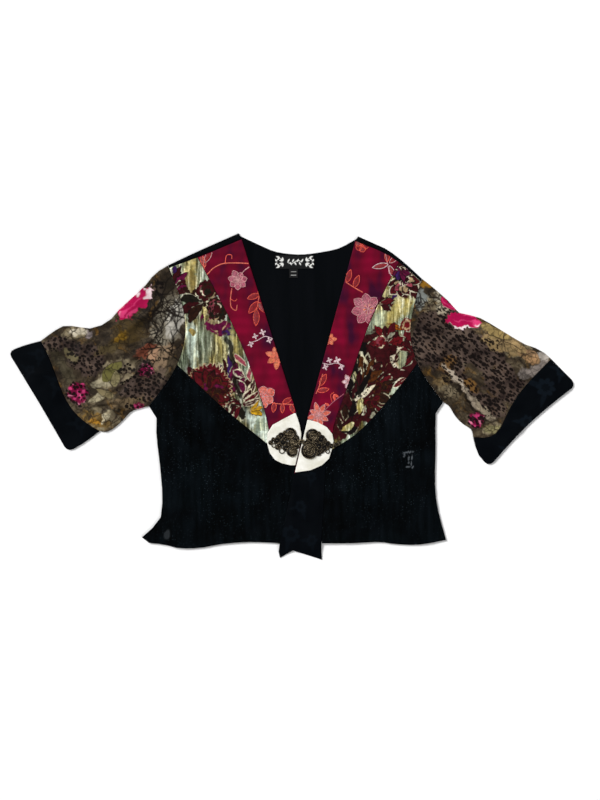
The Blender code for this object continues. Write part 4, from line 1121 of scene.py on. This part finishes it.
def paintChiffon(layer, torn, facts):
    x = layer["x"]
    y = layer["y"]
    fine = softNoise(x, y, 5, 91)
    # washes of the print, with a few painted shadows and painted highlights among them
    for cx, cy, angle, length, width, colour in facts["washesAndPaintedLight"]:
        stamp(layer, blobMask(torn, cx, cy, angle, length, width, 0.25) * (0.84 + 0.16 * fine), colour)
    for rx, ry, angle, length, width, colour in facts["leaves"]:
        outline = leafMask(layer, rx, ry, angle, length, width + 1.9, 0.6)
        stamp(layer, 0.8 * outline, chiffonColours["outline"])
        stamp(layer, leafMask(layer, rx, ry, angle, length * 0.97, width, 0.7), colour)
    dice = np.random.default_rng(57)
    for rx, ry, angle, length in facts["twigs"]:
        stamp(layer, 0.9 * twigMask(layer, rx, ry, angle, length, dice), chiffonColours["twig"])
    for cx, cy, angle, length, width, rim, tail in facts["petals"]:
        body = blobMask(torn, cx, cy, angle, length, width, 0.06)
        along, across = turned(torn, cx, cy, angle)
        streak = softNoise(along * 0.4, across * 1.6, 6, 93)
        stamp(layer, body, chiffonColours["petal"])
        stamp(layer, body * ramp(streak, 0.0, 0.5) * 0.75, chiffonColours["streak"])
        stamp(layer, body * rim * ramp(0.45 * streak - across / width, 0.45, 0.7), chiffonColours["rim"])
        # the pale tail is a painted highlight
        stamp(layer, body * tail * ramp(0.6 * fine - along / length, 0.45, 0.8), chiffonColours["tail"])
    for cx, cy, radius, petals, turn in facts["rosettes"]:
        body = bloomMask(layer, cx, cy, radius, petals, 0.25, turn, 1.4)
        stamp(layer, body, chiffonColours["rosette"])
        stamp(layer, body * ramp(fine, 0.0, 0.5), chiffonColours["light"])
        stamp(layer, body * ramp(softNoise(x, y, 4, 95), 0.35, 0.7) * 0.7, chiffonColours["tip"])


for side in bothSides:
    facts = sleeveFacts[side]
    sleeve, x, y = skin("sleeve_chiffon_" + side, "sleeve_" + side, creases=facts["creases"],
                        **sleeveFacts["cut"])[:3]
    layer = blankPrint(x, y, **sleeveFacts["print"])
    torn = tornCopy(layer, sleeveFacts["tearSeed"], *sleeveFacts["tears"])
    for kind in ("leopard", "crackle", "pebble"):
        mask = np.zeros_like(x)
        for cx, cy, angle, length, width in facts[kind]:
            mask = np.maximum(mask, blobMask(layer, cx, cy, angle, length, width, 0.18))
        if kind == "leopard":
            spotted = mask
        if kind == "crackle":
            mask = np.maximum(mask, sleeveFacts["thinCrackle"] * (1 - spotted))
        for cx, cy, angle, length, width, rim, tail in facts["petals"]:
            mask = mask * (1 - blobMask(torn, cx, cy, angle, length, width, 0.06))
        keepValues(sleeve, kind, mask)
    paintChiffon(layer, torn, facts)
    keepPrint(sleeve, layer)
    handOver(sleeve, chiffons[side], node="sleeve_" + side)
print("sleeves made")

# Embroidery: raised satin stitch, each stroke laid on the band below it

threadColours = {
    "coral": "#e24d39", "salmon": "#dd6650", "pale": "#cf9496", "pink": "#a94f64", "peach": "#d9754f",
    "white": "#d8bcc0", "red": "#86101c",
}
threads = {name: rayonThread(name, colour) for name, colour in threadColours.items()}


def sew(store, plan, lift, stitch, colour):
    rows, columns = lift.shape
    start = sum(len(part) for part in store["lift"])
    store["plan"].append(plan.reshape(-1, 2))
    store["lift"].append(lift.ravel())
    store["stitch"].append(stitch.ravel())
    for row in range(rows - 1):
        for column in range(columns - 1):
            corner = start + row * columns + column
            store["faces"].append((corner, corner + 1, corner + columns + 1, corner + columns))
            store["colour"].append(colour)


def sewLine(store, path, width, colour, lift=0.55):
    path = np.asarray(path, float)
    run = np.gradient(path, axis=0)
    run /= np.maximum(np.linalg.norm(run, axis=1), 1e-9)[:, None]
    side = np.stack([run[:, 1], -run[:, 0]], axis=1)
    across = np.array([-1, -0.6, 0, 0.6, 1.0])
    plan = path[:, None, :] + side[:, None, :] * (across * width / 2)[None, :, None]
    rise = 0.02 + lift * np.sqrt(np.maximum(1 - across ** 2, 0))
    length = np.concatenate([[0], np.cumsum(np.linalg.norm(np.diff(path, axis=0), axis=1))])
    shape = (len(path), len(across))
    sew(store, plan, np.broadcast_to(rise, shape), np.broadcast_to(length[:, None], shape), colour)


def sewPetal(store, root, angle, length, width, fill, edge=None, blunt=1.0, line=1.2):
    # a padded stroke, pointed when blunt is below 1 and round-ended above it
    u = np.linspace(0, 1, 11)
    v = np.linspace(-1, 1, 7)
    half = 0.5 * width * np.sin(math.pi * u ** blunt) ** 0.8 + 0.02
    ahead = towards(angle)
    side = np.array([ahead[1], -ahead[0]])
    spine = np.asarray(root, float) + u[:, None] * length * ahead
    plan = spine[:, None, :] + (half[:, None] * v[None, :])[:, :, None] * side
    padding = np.sin(math.pi * np.clip(u, 0.06, 0.94))[:, None]
    rise = 0.04 + 0.5 * np.sqrt(np.maximum(1 - v[None, :] ** 2, 0)) * padding
    sew(store, plan, rise, np.broadcast_to((u * length)[:, None], rise.shape), fill)
    if edge:
        rim = np.concatenate([plan[:, 0], plan[::-1, -1]])
        sewLine(store, rim, line, edge, lift=0.75)


innerRowFrom = 12  # mm, flowers over this radius have a second row of petals
veinsFrom = 18  # mm, flowers over this radius have veins instead


def sewFlower(store, place, radius, petals, turn, blunt, fill, edge, heart):
    place = np.asarray(place, float)
    sizes = np.random.default_rng(int(abs(place[0]))).uniform(0.8, 1.12, petals)
    for step in range(petals):
        bearing = turn + 360 * step / petals
        length = radius * sizes[step]
        width = (1.36 if blunt > 1.2 else 1.0) * math.pi * radius / petals
        sewPetal(store, place, bearing, length, width, fill, edge, blunt, line=1.0)
        for lean in (-9, 0, 9) if radius > veinsFrom else ():
            ahead = towards(bearing + lean)
            shares = np.linspace(0.26, 0.8 if lean else 0.9, 6)[:, None]
            sewLine(store, place + shares * length * ahead, 0.7, edge, lift=0.68)
    for step in range(petals) if innerRowFrom < radius <= veinsFrom else ():
        bearing = turn + 360 * (step + 0.5) / petals
        width = 0.7 * math.pi * radius / petals
        sewPetal(store, place, bearing, 0.56 * radius, width, fill, edge, blunt, line=0.8)
    for step in range(6):
        bearing = turn + 60 * step
        ahead = towards(bearing)
        root = place + 0.1 * radius * ahead
        sewPetal(store, root, bearing, 0.3 * radius, 0.16 * radius, heart, blunt=1.2)


def sewSprig(store, points, blossoms, colour):
    sewLine(store, throughPoints(points, 8), 1.3, colour)
    for bx, by, size in blossoms:
        for bearing in (20, 110, 200, 290):
            sewPetal(store, (bx, by), bearing, size, size * 0.55, colour)


embroideryRows = {
    "left": {
        # line: points, width, colour
        "lines": [
            ([(-134, 216), (-132, 196), (-128, 183), (-118, 192), (-103, 199), (-82, 200), (-62, 199)],
             1.7, "salmon"),
            ([(-100, 200), (-98, 211), (-91, 212), (-90, 206)], 1.4, "coral"),
            ([(-64, 194), (-72, 188), (-78, 180)], 1.4, "pale"),
            ([(-90, 162), (-92, 146), (-91, 134), (-84, 129), (-82, 137)], 1.5, "salmon"),
            ([(-92, 146), (-86, 143), (-82, 146)], 1.2, "coral"),
            ([(-48, 156), (-51, 140), (-53, 128)], 1.3, "salmon"),
            ([(-38, -8), (-20, -11), (4, -12)], 1.5, "salmon"),
        ],
        # leaf: root, angle, length, width, fill, edge
        "leaves": [
            ((-131, 200), 62, 24, 8, "red", "pale"), ((-130, 194), 110, 20, 7, "red", "salmon"),
            ((-49, 153), 200, 19, 8, "red", "coral"), ((-49, 151), 75, 14, 7, "red", "coral"),
            ((-51, 142), 232, 22, 9, "red", "coral"), ((-51, 141), 308, 20, 8, "red", "coral"),
            ((-53, 130), 268, 24, 9, "red", "coral"), ((-26, -9), 262, 15, 7, "red", "coral"),
            ((-14, -11), 268, 14, 6, "red", "coral"), ((-14, -10), 28, 16, 7, "red", "coral"),
            ((-2, -12), 290, 13, 6, "red", "coral"),
        ],
        # flower: place, radius, petals, turn, bluntness, fill, edge, heart
        "flowers": [
            ((-81, 174), 15, 7, 12, 1.3, "pink", "pale", "red"),
            ((-22, 60), 18, 7, 8, 1.1, "peach", "salmon", "coral"),
            ((-43, 0), 19, 6, 30, 1.5, "salmon", "pale", "coral"),
        ],
        # sprig: stem, blossoms as x, y and size, colour
        "sprigs": [
            ([(-64, 80), (-52, 84), (-40, 90), (-28, 86)],
             [(-62, 78, 5), (-55, 90, 5), (-44, 96, 5.5), (-34, 84, 5)], "white"),
        ],
    },
    "right": {
        "lines": [
            ([(80, 172), (92, 164), (106, 156)], 1.5, "salmon"),
            ([(140, 214), (143, 200), (146, 184)], 1.4, "pale"),
            ([(50, -20), (62, -8), (78, 4)], 1.4, "pink"),
            ([(60, -8), (58, 2), (63, 6)], 1.1, "coral"),
            ([(46, 34), (42, 18), (36, 4)], 1.3, "salmon"),
        ],
        "leaves": [
            ((82, 171), 72, 20, 8, "red", "coral"), ((93, 163), 68, 20, 8, "red", "coral"),
            ((144, 198), 192, 24, 8, "red", "white"), ((143, 202), 95, 16, 7, "red", "coral"),
            ((146, 196), 292, 22, 7, "red", "white"), ((146, 200), 40, 20, 7, "red", "pale"),
            ((42, 16), 62, 20, 8, "red", "coral"), ((38, 8), 10, 18, 7, "red", "coral"),
            ((64, -6), 100, 9, 4, "coral", None), ((70, -1), 150, 9, 4, "coral", None),
            ((56, -14), 150, 8, 4, "coral", None),
        ],
        "flowers": [
            ((114, 131), 25, 8, 10, 1.5, "pink", "pale", "peach"),
            ((104, 226), 11, 5, 0, 1.3, "red", "coral", "coral"),
            ((56, 86), 11, 6, 0, 1.1, "peach", "salmon", "red"),
            ((86, 22), 12, 6, 0, 1.0, "white", "pale", "pink"),
            ((40, -28), 18, 8, 15, 1.1, "salmon", "pale", "red"),
        ],
        "sprigs": [
            ([(46, 50), (56, 48), (66, 50), (78, 46)],
             [(50, 44, 5), (56, 54, 5), (68, 54, 6), (74, 44, 5)], "white"),
        ],
    },
}


def embroider(name, band, rows):
    store = {"plan": [], "lift": [], "stitch": [], "faces": [], "colour": []}
    for points, width, colour in rows["lines"]:
        sewLine(store, throughPoints(points, 9), width, colour)
    for root, angle, length, width, fill, edge in rows["leaves"]:
        sewPetal(store, root, angle, length, width, fill, edge, blunt=0.9)
    for row in rows["flowers"]:
        sewFlower(store, *row)
    for points, blossoms, colour in rows["sprigs"]:
        sewSprig(store, points, blossoms, colour)
    plan = np.concatenate(store["plan"])
    lift = np.concatenate(store["lift"])
    tree = BVHTree.FromPolygons([v.co[:] for v in band.data.vertices],
                                [p.vertices[:] for p in band.data.polygons])
    heights = np.full(len(plan), np.nan)
    for index, (px, py) in enumerate(plan):
        hit = tree.ray_cast(Vector((px * mm, py * mm, aboveAll)), Vector((0, 0, -1)))
        if hit[0] is not None:
            heights[index] = hit[0].z / mm
    points = np.column_stack([plan, heights + lift])
    faces = []
    colours = []
    names = list(threads)
    for face, colour in zip(store["faces"], store["colour"]):
        if not np.isnan(heights[list(face)]).any():
            faces.append(face)
            colours.append(names.index(colour))
    points = np.nan_to_num(points)
    mesh = bpy.data.meshes.new(name)
    mesh.from_pydata((points * mm).tolist(), [], faces)
    for material in threads.values():
        mesh.materials.append(material)
    mesh.polygons.foreach_set("material_index", colours)
    piece = putInScene(name, mesh)
    keepValues(piece, "stitch", np.concatenate(store["stitch"]))
    bm = bmesh.new()
    bm.from_mesh(mesh)
    loose = [v for v in bm.verts if not v.link_faces]
    bmesh.ops.delete(bm, geom=loose, context="VERTS")
    bm.normal_update()
    turnOver = [f for f in bm.faces if f.normal.z < 0]
    bmesh.ops.reverse_faces(bm, faces=turnOver)
    bm.to_mesh(mesh)
    bm.free()
    mesh.shade_smooth()
    return piece


leastTuck = 0.05 * mm
mostTuck = 2.2 * mm
tuckedIn = 0.4 * mm


def tuckUnder(piece, reach, nodeName):
    # edge points that would peep out beside the facing go in under it
    solid = nodeMesh(nodeName)
    tree = BVHTree.FromBMesh(solid)
    level = sum(v.co.z for v in solid.verts) / len(solid.verts)
    solid.free()
    for v in piece.data.vertices:
        near = tree.find_nearest(Vector((v.co.x, v.co.y, level)))[0]
        step = Vector((near.x - v.co.x, near.y - v.co.y, 0))
        if reach[v.index] == 0 and leastTuck < step.length < mostTuck:
            v.co += step * (1 + tuckedIn / step.length)


lapelFacts = {
    "cut": {"spacing": 1.8, "above": raisedAbove, "ripple": 0.06, "low": -0.5},
    "left": {
        "flat": (0.064, 0.385), "area": 0.0177,
        "creases": [(-122, 150, -60, 158, 6, 0.35), (-70, 30, -20, 36, 5, 0.4), (-54, 14, -10, 22, 4, -0.4),
                    (-110, 224, -90, 120, 7, 0.35), (-70, 110, -40, 20, 6, 0.35),
                    (-40, -30, 4, -20, 5, 0.25)],
    },
    "right": {
        "flat": (0.064, 0.385), "area": 0.0176,
        "creases": [(128, 210, 110, 120, 7, 0.4), (100, 140, 80, 40, 6, 0.35), (70, 80, 110, 90, 5, 0.35),
                    (40, 20, 80, 32, 5, -0.4), (56, 30, 40, -40, 5, 0.3), (96, 200, 140, 190, 5, 0.35)],
    },
}
for side in bothSides:
    facts = lapelFacts[side]
    lapel, x, y, reach = skin("lapel_satin_" + side, "lapel_" + side, creases=facts["creases"],
                              **lapelFacts["cut"])
    tuckUnder(lapel, reach, "patch_" + side)
    stitches = embroider("lapel_embroidery_" + side, lapel, embroideryRows[side])
    handOver(stitches, None)
    handOver(lapel, burgundy, node="lapel_" + side)
print("bands and embroidery made")

# Ivory facings under the clasp

patchFacts = {
    "cut": {"spacing": 1.5, "above": raisedAbove, "smoothing": 20, "ripple": 0.04, "low": -0.3, "fade": 4},
    "left": {"flat": (0.052, 0.079), "area": 0.0031,
             "creases": [(-30, -46, 8, -38, 4, 0.25), (-34, -88, 4, -98, 4, -0.2)]},
    "right": {"flat": (0.058, 0.079), "area": 0.0031,
              "creases": [(16, -44, 50, -52, 4, 0.25), (14, -104, 52, -96, 4, -0.2)]},
}
for side in bothSides:
    facts = patchFacts[side]
    patch = skin("patch_satin_" + side, "patch_" + side, creases=facts["creases"], **patchFacts["cut"])[0]
    handOver(patch, ivory, node="patch_" + side)
print("facings made")

# Filigree clasp: coiled wire roses with milled rims, rings round them, hook and eye

claspFacts = {
    # all in mm
    "hook": (13.5, -66.8),
    "wire": 0.75,  # radius
    "hookWire": 1.1,
    "roseFrom": 7,  # coils over this radius are domed roses, smaller ones are rings
    "turnWidth": 3.6,  # from turn to turn of a rose's coil
    "crown": 0.17,  # a rose's rise as a share of its radius
    "ringCrown": 0.1,
    "rimHeight": 0.75,
    "rimRaised": 0.8,  # 0 is dark as a hollow, 1 is rubbed pale
    "capReach": {"rose": -0.8, "ring": 0.4},  # of the dark cap past the coil's radius
    "capHeight": 0.9,
    "capRaised": 0.06,
    "coilHeight": 1.2,
    "coilInset": 2.2,  # from a rose's rim to its coil
    "coilShare": 0.85,  # of the way to the middle that the coil runs
    "turnSteps": 30,
    "grain": {"rose": 1.2, "ring": 0.9},
    "millWidth": 3.0,  # from bead to bead of a milled rim
    "millBead": 1.05,
    "millHeight": 1.25,
    # how far hook and eye come out of their half, how far they bend in, and their height
    "hookWay": {"left": (-5.5, 2.6, 1.0), "right": (5.5, -2.2, 1.9)},
    "hookRun": (1.2, 1.6, 0, -2.0, -2.6),  # y of its bends from the hook, end to end
    "hookSeat": -1.5,
    # coil: x and y from the hook, radius
    "left": [
        (-10.6, -2.6, 8.6), (-16, 10.8, 9.4), (-13.4, -15.4, 8.4), (-22.5, -10.5, 5), (-26.8, -1.8, 5.2),
        (-28.7, -14.4, 4.6), (-29.5, 8, 4.8), (-36, 0.8, 5), (-40.8, -6.5, 3.6), (-45.4, -2.4, 3.2),
        (-23, 3.6, 3.9), (-20.6, -4.6, 3.3), (-32.4, -6.6, 3.9), (-34, 6, 3.2), (-35.4, -10, 2.9),
        (-24, 12.6, 3.2), (-41.4, 2.4, 2.9), (-6, 5.4, 3), (-5.2, -8.6, 3), (0.6, -2.6, 4.4),
    ],
    "right": [
        (12.8, -14, 12.8), (17.2, 8.4, 10.2), (26.7, -8, 5.5), (30.4, 3.3, 6), (26, -18, 4.4),
        (35, -10.6, 5), (39.8, -15.4, 3.5), (39.8, -4.2, 4.5), (45.6, -7.4, 3.4), (51, -5.6, 3.2),
        (56.4, -3.4, 2.8), (22.4, -2, 3.6), (33.6, -3.6, 3.4), (31, -15, 3.6), (26.4, 11, 3.4),
        (35.6, 1.6, 3), (10.6, 1, 3.2), (40, -10.2, 3), (6.4, -3.2, 3.2),
    ],
    "sharpAngle": math.radians(45),
    # open rings that show the facing through them
    "open": [(-28.7, -14.4), (-40.8, -6.5), (39.8, -15.4)],
}


def wireTube(store, path, radius, sides=7, raised=1.0):
    path = np.asarray(path, float)
    run = np.gradient(path, axis=0)
    run /= np.maximum(np.linalg.norm(run, axis=1), 1e-9)[:, None]
    side = np.cross(run, (0, 0, 1.0))
    side /= np.maximum(np.linalg.norm(side, axis=1), 1e-9)[:, None]
    up = np.cross(side, run)
    bearing = np.linspace(0, 2 * math.pi, sides, endpoint=False)
    radius = np.broadcast_to(radius, len(path))[:, None, None]
    ring = path[:, None, :] + radius * (np.cos(bearing)[None, :, None] * side[:, None, :]
                                        + np.sin(bearing)[None, :, None] * up[:, None, :])
    start = len(store["points"])
    store["points"].extend(ring.reshape(-1, 3).tolist())
    store["raised"].extend([raised] * (len(path) * sides))
    for step in range(len(path) - 1):
        for place in range(sides):
            a = start + step * sides + place
            b = start + step * sides + (place + 1) % sides
            store["faces"].append((a, b, b + sides, a + sides))
    store["faces"].append(tuple(start + place for place in reversed(range(sides))))
    last = start + (len(path) - 1) * sides
    store["faces"].append(tuple(last + place for place in range(sides)))


def bead(store, place, radius, raised=1.0):
    start = len(store["points"])
    ball = bmesh.new()
    bmesh.ops.create_icosphere(ball, subdivisions=1, radius=radius)
    for v in ball.verts:
        store["points"].append((place[0] + v.co.x, place[1] + v.co.y, place[2] + v.co.z))
        store["raised"].append(raised)
    for f in ball.faces:
        store["faces"].append(tuple(start + v.index for v in f.verts))
    ball.free()


def dome(store, place, radius, height, raised):
    # a low closed cap, seen dark between the turns of wire
    cx, cy, base = place
    start = len(store["points"])
    rings = 5
    sides = 24
    store["points"].append((cx, cy, base + height))
    for ring in range(1, rings):
        share = ring / (rings - 1)
        for bearing in np.linspace(0, 2 * math.pi, sides, endpoint=False):
            px = cx + radius * share * math.cos(bearing)
            py = cy + radius * share * math.sin(bearing)
            store["points"].append((px, py, base + height * (1 - share ** 2)))
    store["raised"].extend([raised] * (1 + sides * (rings - 1)))
    for step in range(sides):
        after = (step + 1) % sides
        store["faces"].append((start, start + 1 + step, start + 1 + after))
        for ring in range(rings - 2):
            low = start + 1 + ring * sides
            store["faces"].append((low + step, low + sides + step, low + sides + after, low + after))
    rim = start + 1 + (rings - 2) * sides
    store["faces"].append(tuple(rim + step for step in reversed(range(sides))))


def ringPath(cx, cy, radius, height, steps=33):
    loop = np.linspace(0, 2 * math.pi, steps)
    return np.column_stack([cx + radius * np.cos(loop), cy + radius * np.sin(loop), np.full(steps, height)])


def claspHalf(side):
    hookX, hookY = claspFacts["hook"]
    wire = claspFacts["wire"]
    store = {"points": [], "faces": [], "raised": []}
    solid = nodeMesh("clasp_" + side)
    tree = BVHTree.FromBMesh(solid)
    solid.free()

    def seat(px, py):
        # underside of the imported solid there, or of its nearest point
        under = Vector((px * mm, py * mm, belowAll))
        hit = tree.ray_cast(under, Vector((0, 0, 1)))[0] or tree.find_nearest(under)[0]
        return hit.z / mm

    for rx, ry, radius in claspFacts[side]:
        cx = hookX + rx
        cy = hookY + ry
        base = seat(cx, cy)
        rose = radius > claspFacts["roseFrom"]
        kind = "rose" if rose else "ring"
        turns = radius / claspFacts["turnWidth"]
        crown = claspFacts["crown"] * radius if rose else claspFacts["ringCrown"]
        isOpen = (rx, ry) in claspFacts["open"]
        if not isOpen:
            dome(store, (cx, cy, base), radius + claspFacts["capReach"][kind],
                 claspFacts["capHeight"] + crown, claspFacts["capRaised"])
        # coil that climbs to the middle of a rose, a grain in a ring
        if rose:
            t = np.linspace(0, 1, int(claspFacts["turnSteps"] * turns))
            reach = (radius - wire - claspFacts["coilInset"]) * (1 - claspFacts["coilShare"] * t)
            bearing = t * turns * 2 * math.pi + rx
            height = base + claspFacts["coilHeight"] + crown * (1 - (reach / radius) ** 2)
            path = np.column_stack([cx + reach * np.cos(bearing), cy + reach * np.sin(bearing), height])
            wireTube(store, path, wire)
        if not isOpen:
            bead(store, (cx, cy, base + claspFacts["coilHeight"] + crown),
                 claspFacts["grain"][kind])
        # rim: plain on a ring, milled on a rose
        rim = radius - wire
        wireTube(store, ringPath(cx, cy, rim, base + claspFacts["rimHeight"]), wire,
                 raised=claspFacts["rimRaised"])
        if rose:
            beads = int(2 * math.pi * radius / claspFacts["millWidth"])
            for bearing in np.linspace(0, 2 * math.pi, beads, endpoint=False):
                px = cx + rim * math.cos(bearing)
                py = cy + rim * math.sin(bearing)
                bead(store, (px, py, base + claspFacts["millHeight"]), claspFacts["millBead"])
    # hook, or the eye that takes it
    inner, reachIn, lift = claspFacts["hookWay"][side]
    bends = zip((inner, 0, reachIn, 0, inner), claspFacts["hookRun"])
    path = throughPoints([(hookX + across, hookY + along) for across, along in bends], 8)
    height = seat(hookX + inner, hookY + claspFacts["hookSeat"]) + lift
    wireTube(store, np.column_stack([path, np.full(len(path), height)]), claspFacts["hookWire"])
    mesh = bpy.data.meshes.new("clasp_filigree_" + side)
    mesh.from_pydata((np.array(store["points"]) * mm).tolist(), [], store["faces"])
    mesh.shade_smooth()
    mesh.set_sharp_from_angle(angle=claspFacts["sharpAngle"])
    piece = putInScene("clasp_filigree_" + side, mesh)
    keepValues(piece, "raised", np.array(store["raised"]))
    return piece


for side in bothSides:
    handOver(claspHalf(side), bronze, node="clasp_" + side)
print("clasp made")

# Neck label and small tab: woven tape with a leaf vine and sprigs

labelFacts = {
    "cut": {"grid": 0.5, "smoothing": 0},
    "middle": (3.8, 201.5), "flat": (0.058, 0.02), "area": 0.00115,
    # corner sprig, from the middle: root x, y, angle
    "sprigs": [(17, 1.6, 8), (17, 1.6, 42), (17, 1.6, 78), (22, 6.6, 20), (22, 6.6, -40), (26, 1.0, 40)],
    "sprigLeaf": (6.0, 2.3),  # length and width in mm
    "vineReach": 11, "vineSway": 2.2, "vineStep": 3.4, "vineHalf": 0.5,
    "vineLeaf": (5.5, 2.2),
    "vineLean": 60,  # degrees, up and down by turns
    "vineLeaves": range(-3, 4),  # steps from the middle
    "edge": 0.25,
}
tabFacts = {
    "cut": {"grid": 0.6, "smoothing": 0},
    "middle": (2.3, 184.4), "flat": (0.013, 0.013), "area": 0.000165,
    "barPlace": 2.6, "barReach": 4, "barHalf": 0.4, "barShare": 0.55,
}
label, x, y = skin("label_tape", "neck_label", **labelFacts["cut"])[:3]
middleX, middleY = labelFacts["middle"]
plan = {"x": x, "y": y}
edge = labelFacts["edge"]
figure = np.zeros_like(x)
dx = np.abs(x - middleX)
dy = y - middleY
corner = {"x": dx, "y": np.abs(dy)}  # all four corners at once
for rootX, rootY, angle in labelFacts["sprigs"]:
    figure = np.maximum(figure, leafMask(corner, rootX, rootY, angle, *labelFacts["sprigLeaf"], edge))
stem = np.abs(dy - labelFacts["vineSway"] * np.sin((x - middleX) / labelFacts["vineStep"]))
stem = ramp(labelFacts["vineHalf"] - stem, -0.2, 0.2)
figure = np.maximum(figure, stem * ramp(labelFacts["vineReach"] - dx, -0.3, 0.3))
for step in labelFacts["vineLeaves"]:
    root = middleX + labelFacts["vineStep"] * step
    lean = labelFacts["vineLean"] * (1 if step % 2 else -1)
    leaf = leafMask(plan, root, middleY, lean, *labelFacts["vineLeaf"], edge)
    figure = np.maximum(figure, leaf)
keepValues(label, "figure", figure)
handOver(label, tape, node="neck_label")

tab, x, y = skin("tab_tape", "size_tab", **tabFacts["cut"])[:3]
middleX, middleY = tabFacts["middle"]
bars = ramp(tabFacts["barHalf"] - np.abs(np.abs(y - middleY) - tabFacts["barPlace"]), -0.2, 0.2)
bars = bars * ramp(tabFacts["barReach"] - np.abs(x - middleX), -0.3, 0.3)
keepValues(tab, "figure", tabFacts["barShare"] * bars)
handOver(tab, tape, node="size_tab")
print("label and tab made")

# Floor, light and camera

studio = {
    "cameraPlace": (0.012, -0.00525, 2.4),  # straight above the middle of the picture
    "lens": 72,
    "sensor": 36,  # mm; 1.2 m of floor from top to bottom
    "floorReach": 60.0,
    "floorLevel": -0.0002,
    "lamps": [
        # direction that it shines from, spread in degrees, strength
        ((-2.4, 2.0, 2.7), 24, 3.3), ((2.4, -1.9, 3.4), 40, 1.0),
    ],
    "sky": ["#ffffff", "#6c6c6c"],  # at the horizon and overhead
}


def makeFloor():
    material, tree, shader, place = newMaterial("paintedBoard", roughness=0.9, specular=0.1)
    grain = add(tree, "TexNoise", {"Vector": place, "Scale": per(60), "Detail": 3.0})
    colour = add(tree, "ValToRGB", {"Fac": grain}, stops=[(0.3, "#f6f6f6"), (0.7, "#fbfbfb")])
    setSockets(tree, shader, {"colour": colour})
    reach = studio["floorReach"]
    corners = [(a * reach, b * reach, studio["floorLevel"]) for a, b in ((-1, -1), (1, -1), (1, 1), (-1, 1))]
    mesh = bpy.data.meshes.new("floor_board")
    mesh.from_pydata(corners, [], [(0, 1, 2, 3)])
    mesh.materials.append(material)
    putInScene("floor_board", mesh)


def makeLights():
    for place, spread, strength in studio["lamps"]:
        lamp = bpy.data.lights.new("softLamp", "SUN")
        lamp.angle = math.radians(spread)
        lamp.energy = strength
        holder = putInScene("softLamp", lamp)
        holder.location = place
        holder.rotation_euler = Vector(place).to_track_quat("Z", "Y").to_euler()
    sky = bpy.data.worlds.new("studioSky")
    sky.use_nodes = True
    tree = sky.node_tree
    place = add(tree, "TexCoord", out="Generated")
    height = add(tree, "SeparateXYZ", {"Vector": place}, out="Z")
    low, high = studio["sky"]
    colour = add(tree, "ValToRGB", {"Fac": height}, stops=[(0.06, low), (0.4, high)])
    tree.links.new(colour, tree.nodes["Background"].inputs["Color"])
    bpy.context.scene.world = sky


def makeCamera():
    lens = bpy.data.cameras.new("overhead")
    lens.lens = studio["lens"]
    lens.sensor_width = studio["sensor"]
    camera = putInScene("overhead", lens)
    camera.location = studio["cameraPlace"]
    bpy.context.scene.camera = camera
    bpy.context.scene.view_settings.view_transform = "Standard"


makeFloor()
makeLights()
makeCamera()
print("floor, light and camera made")
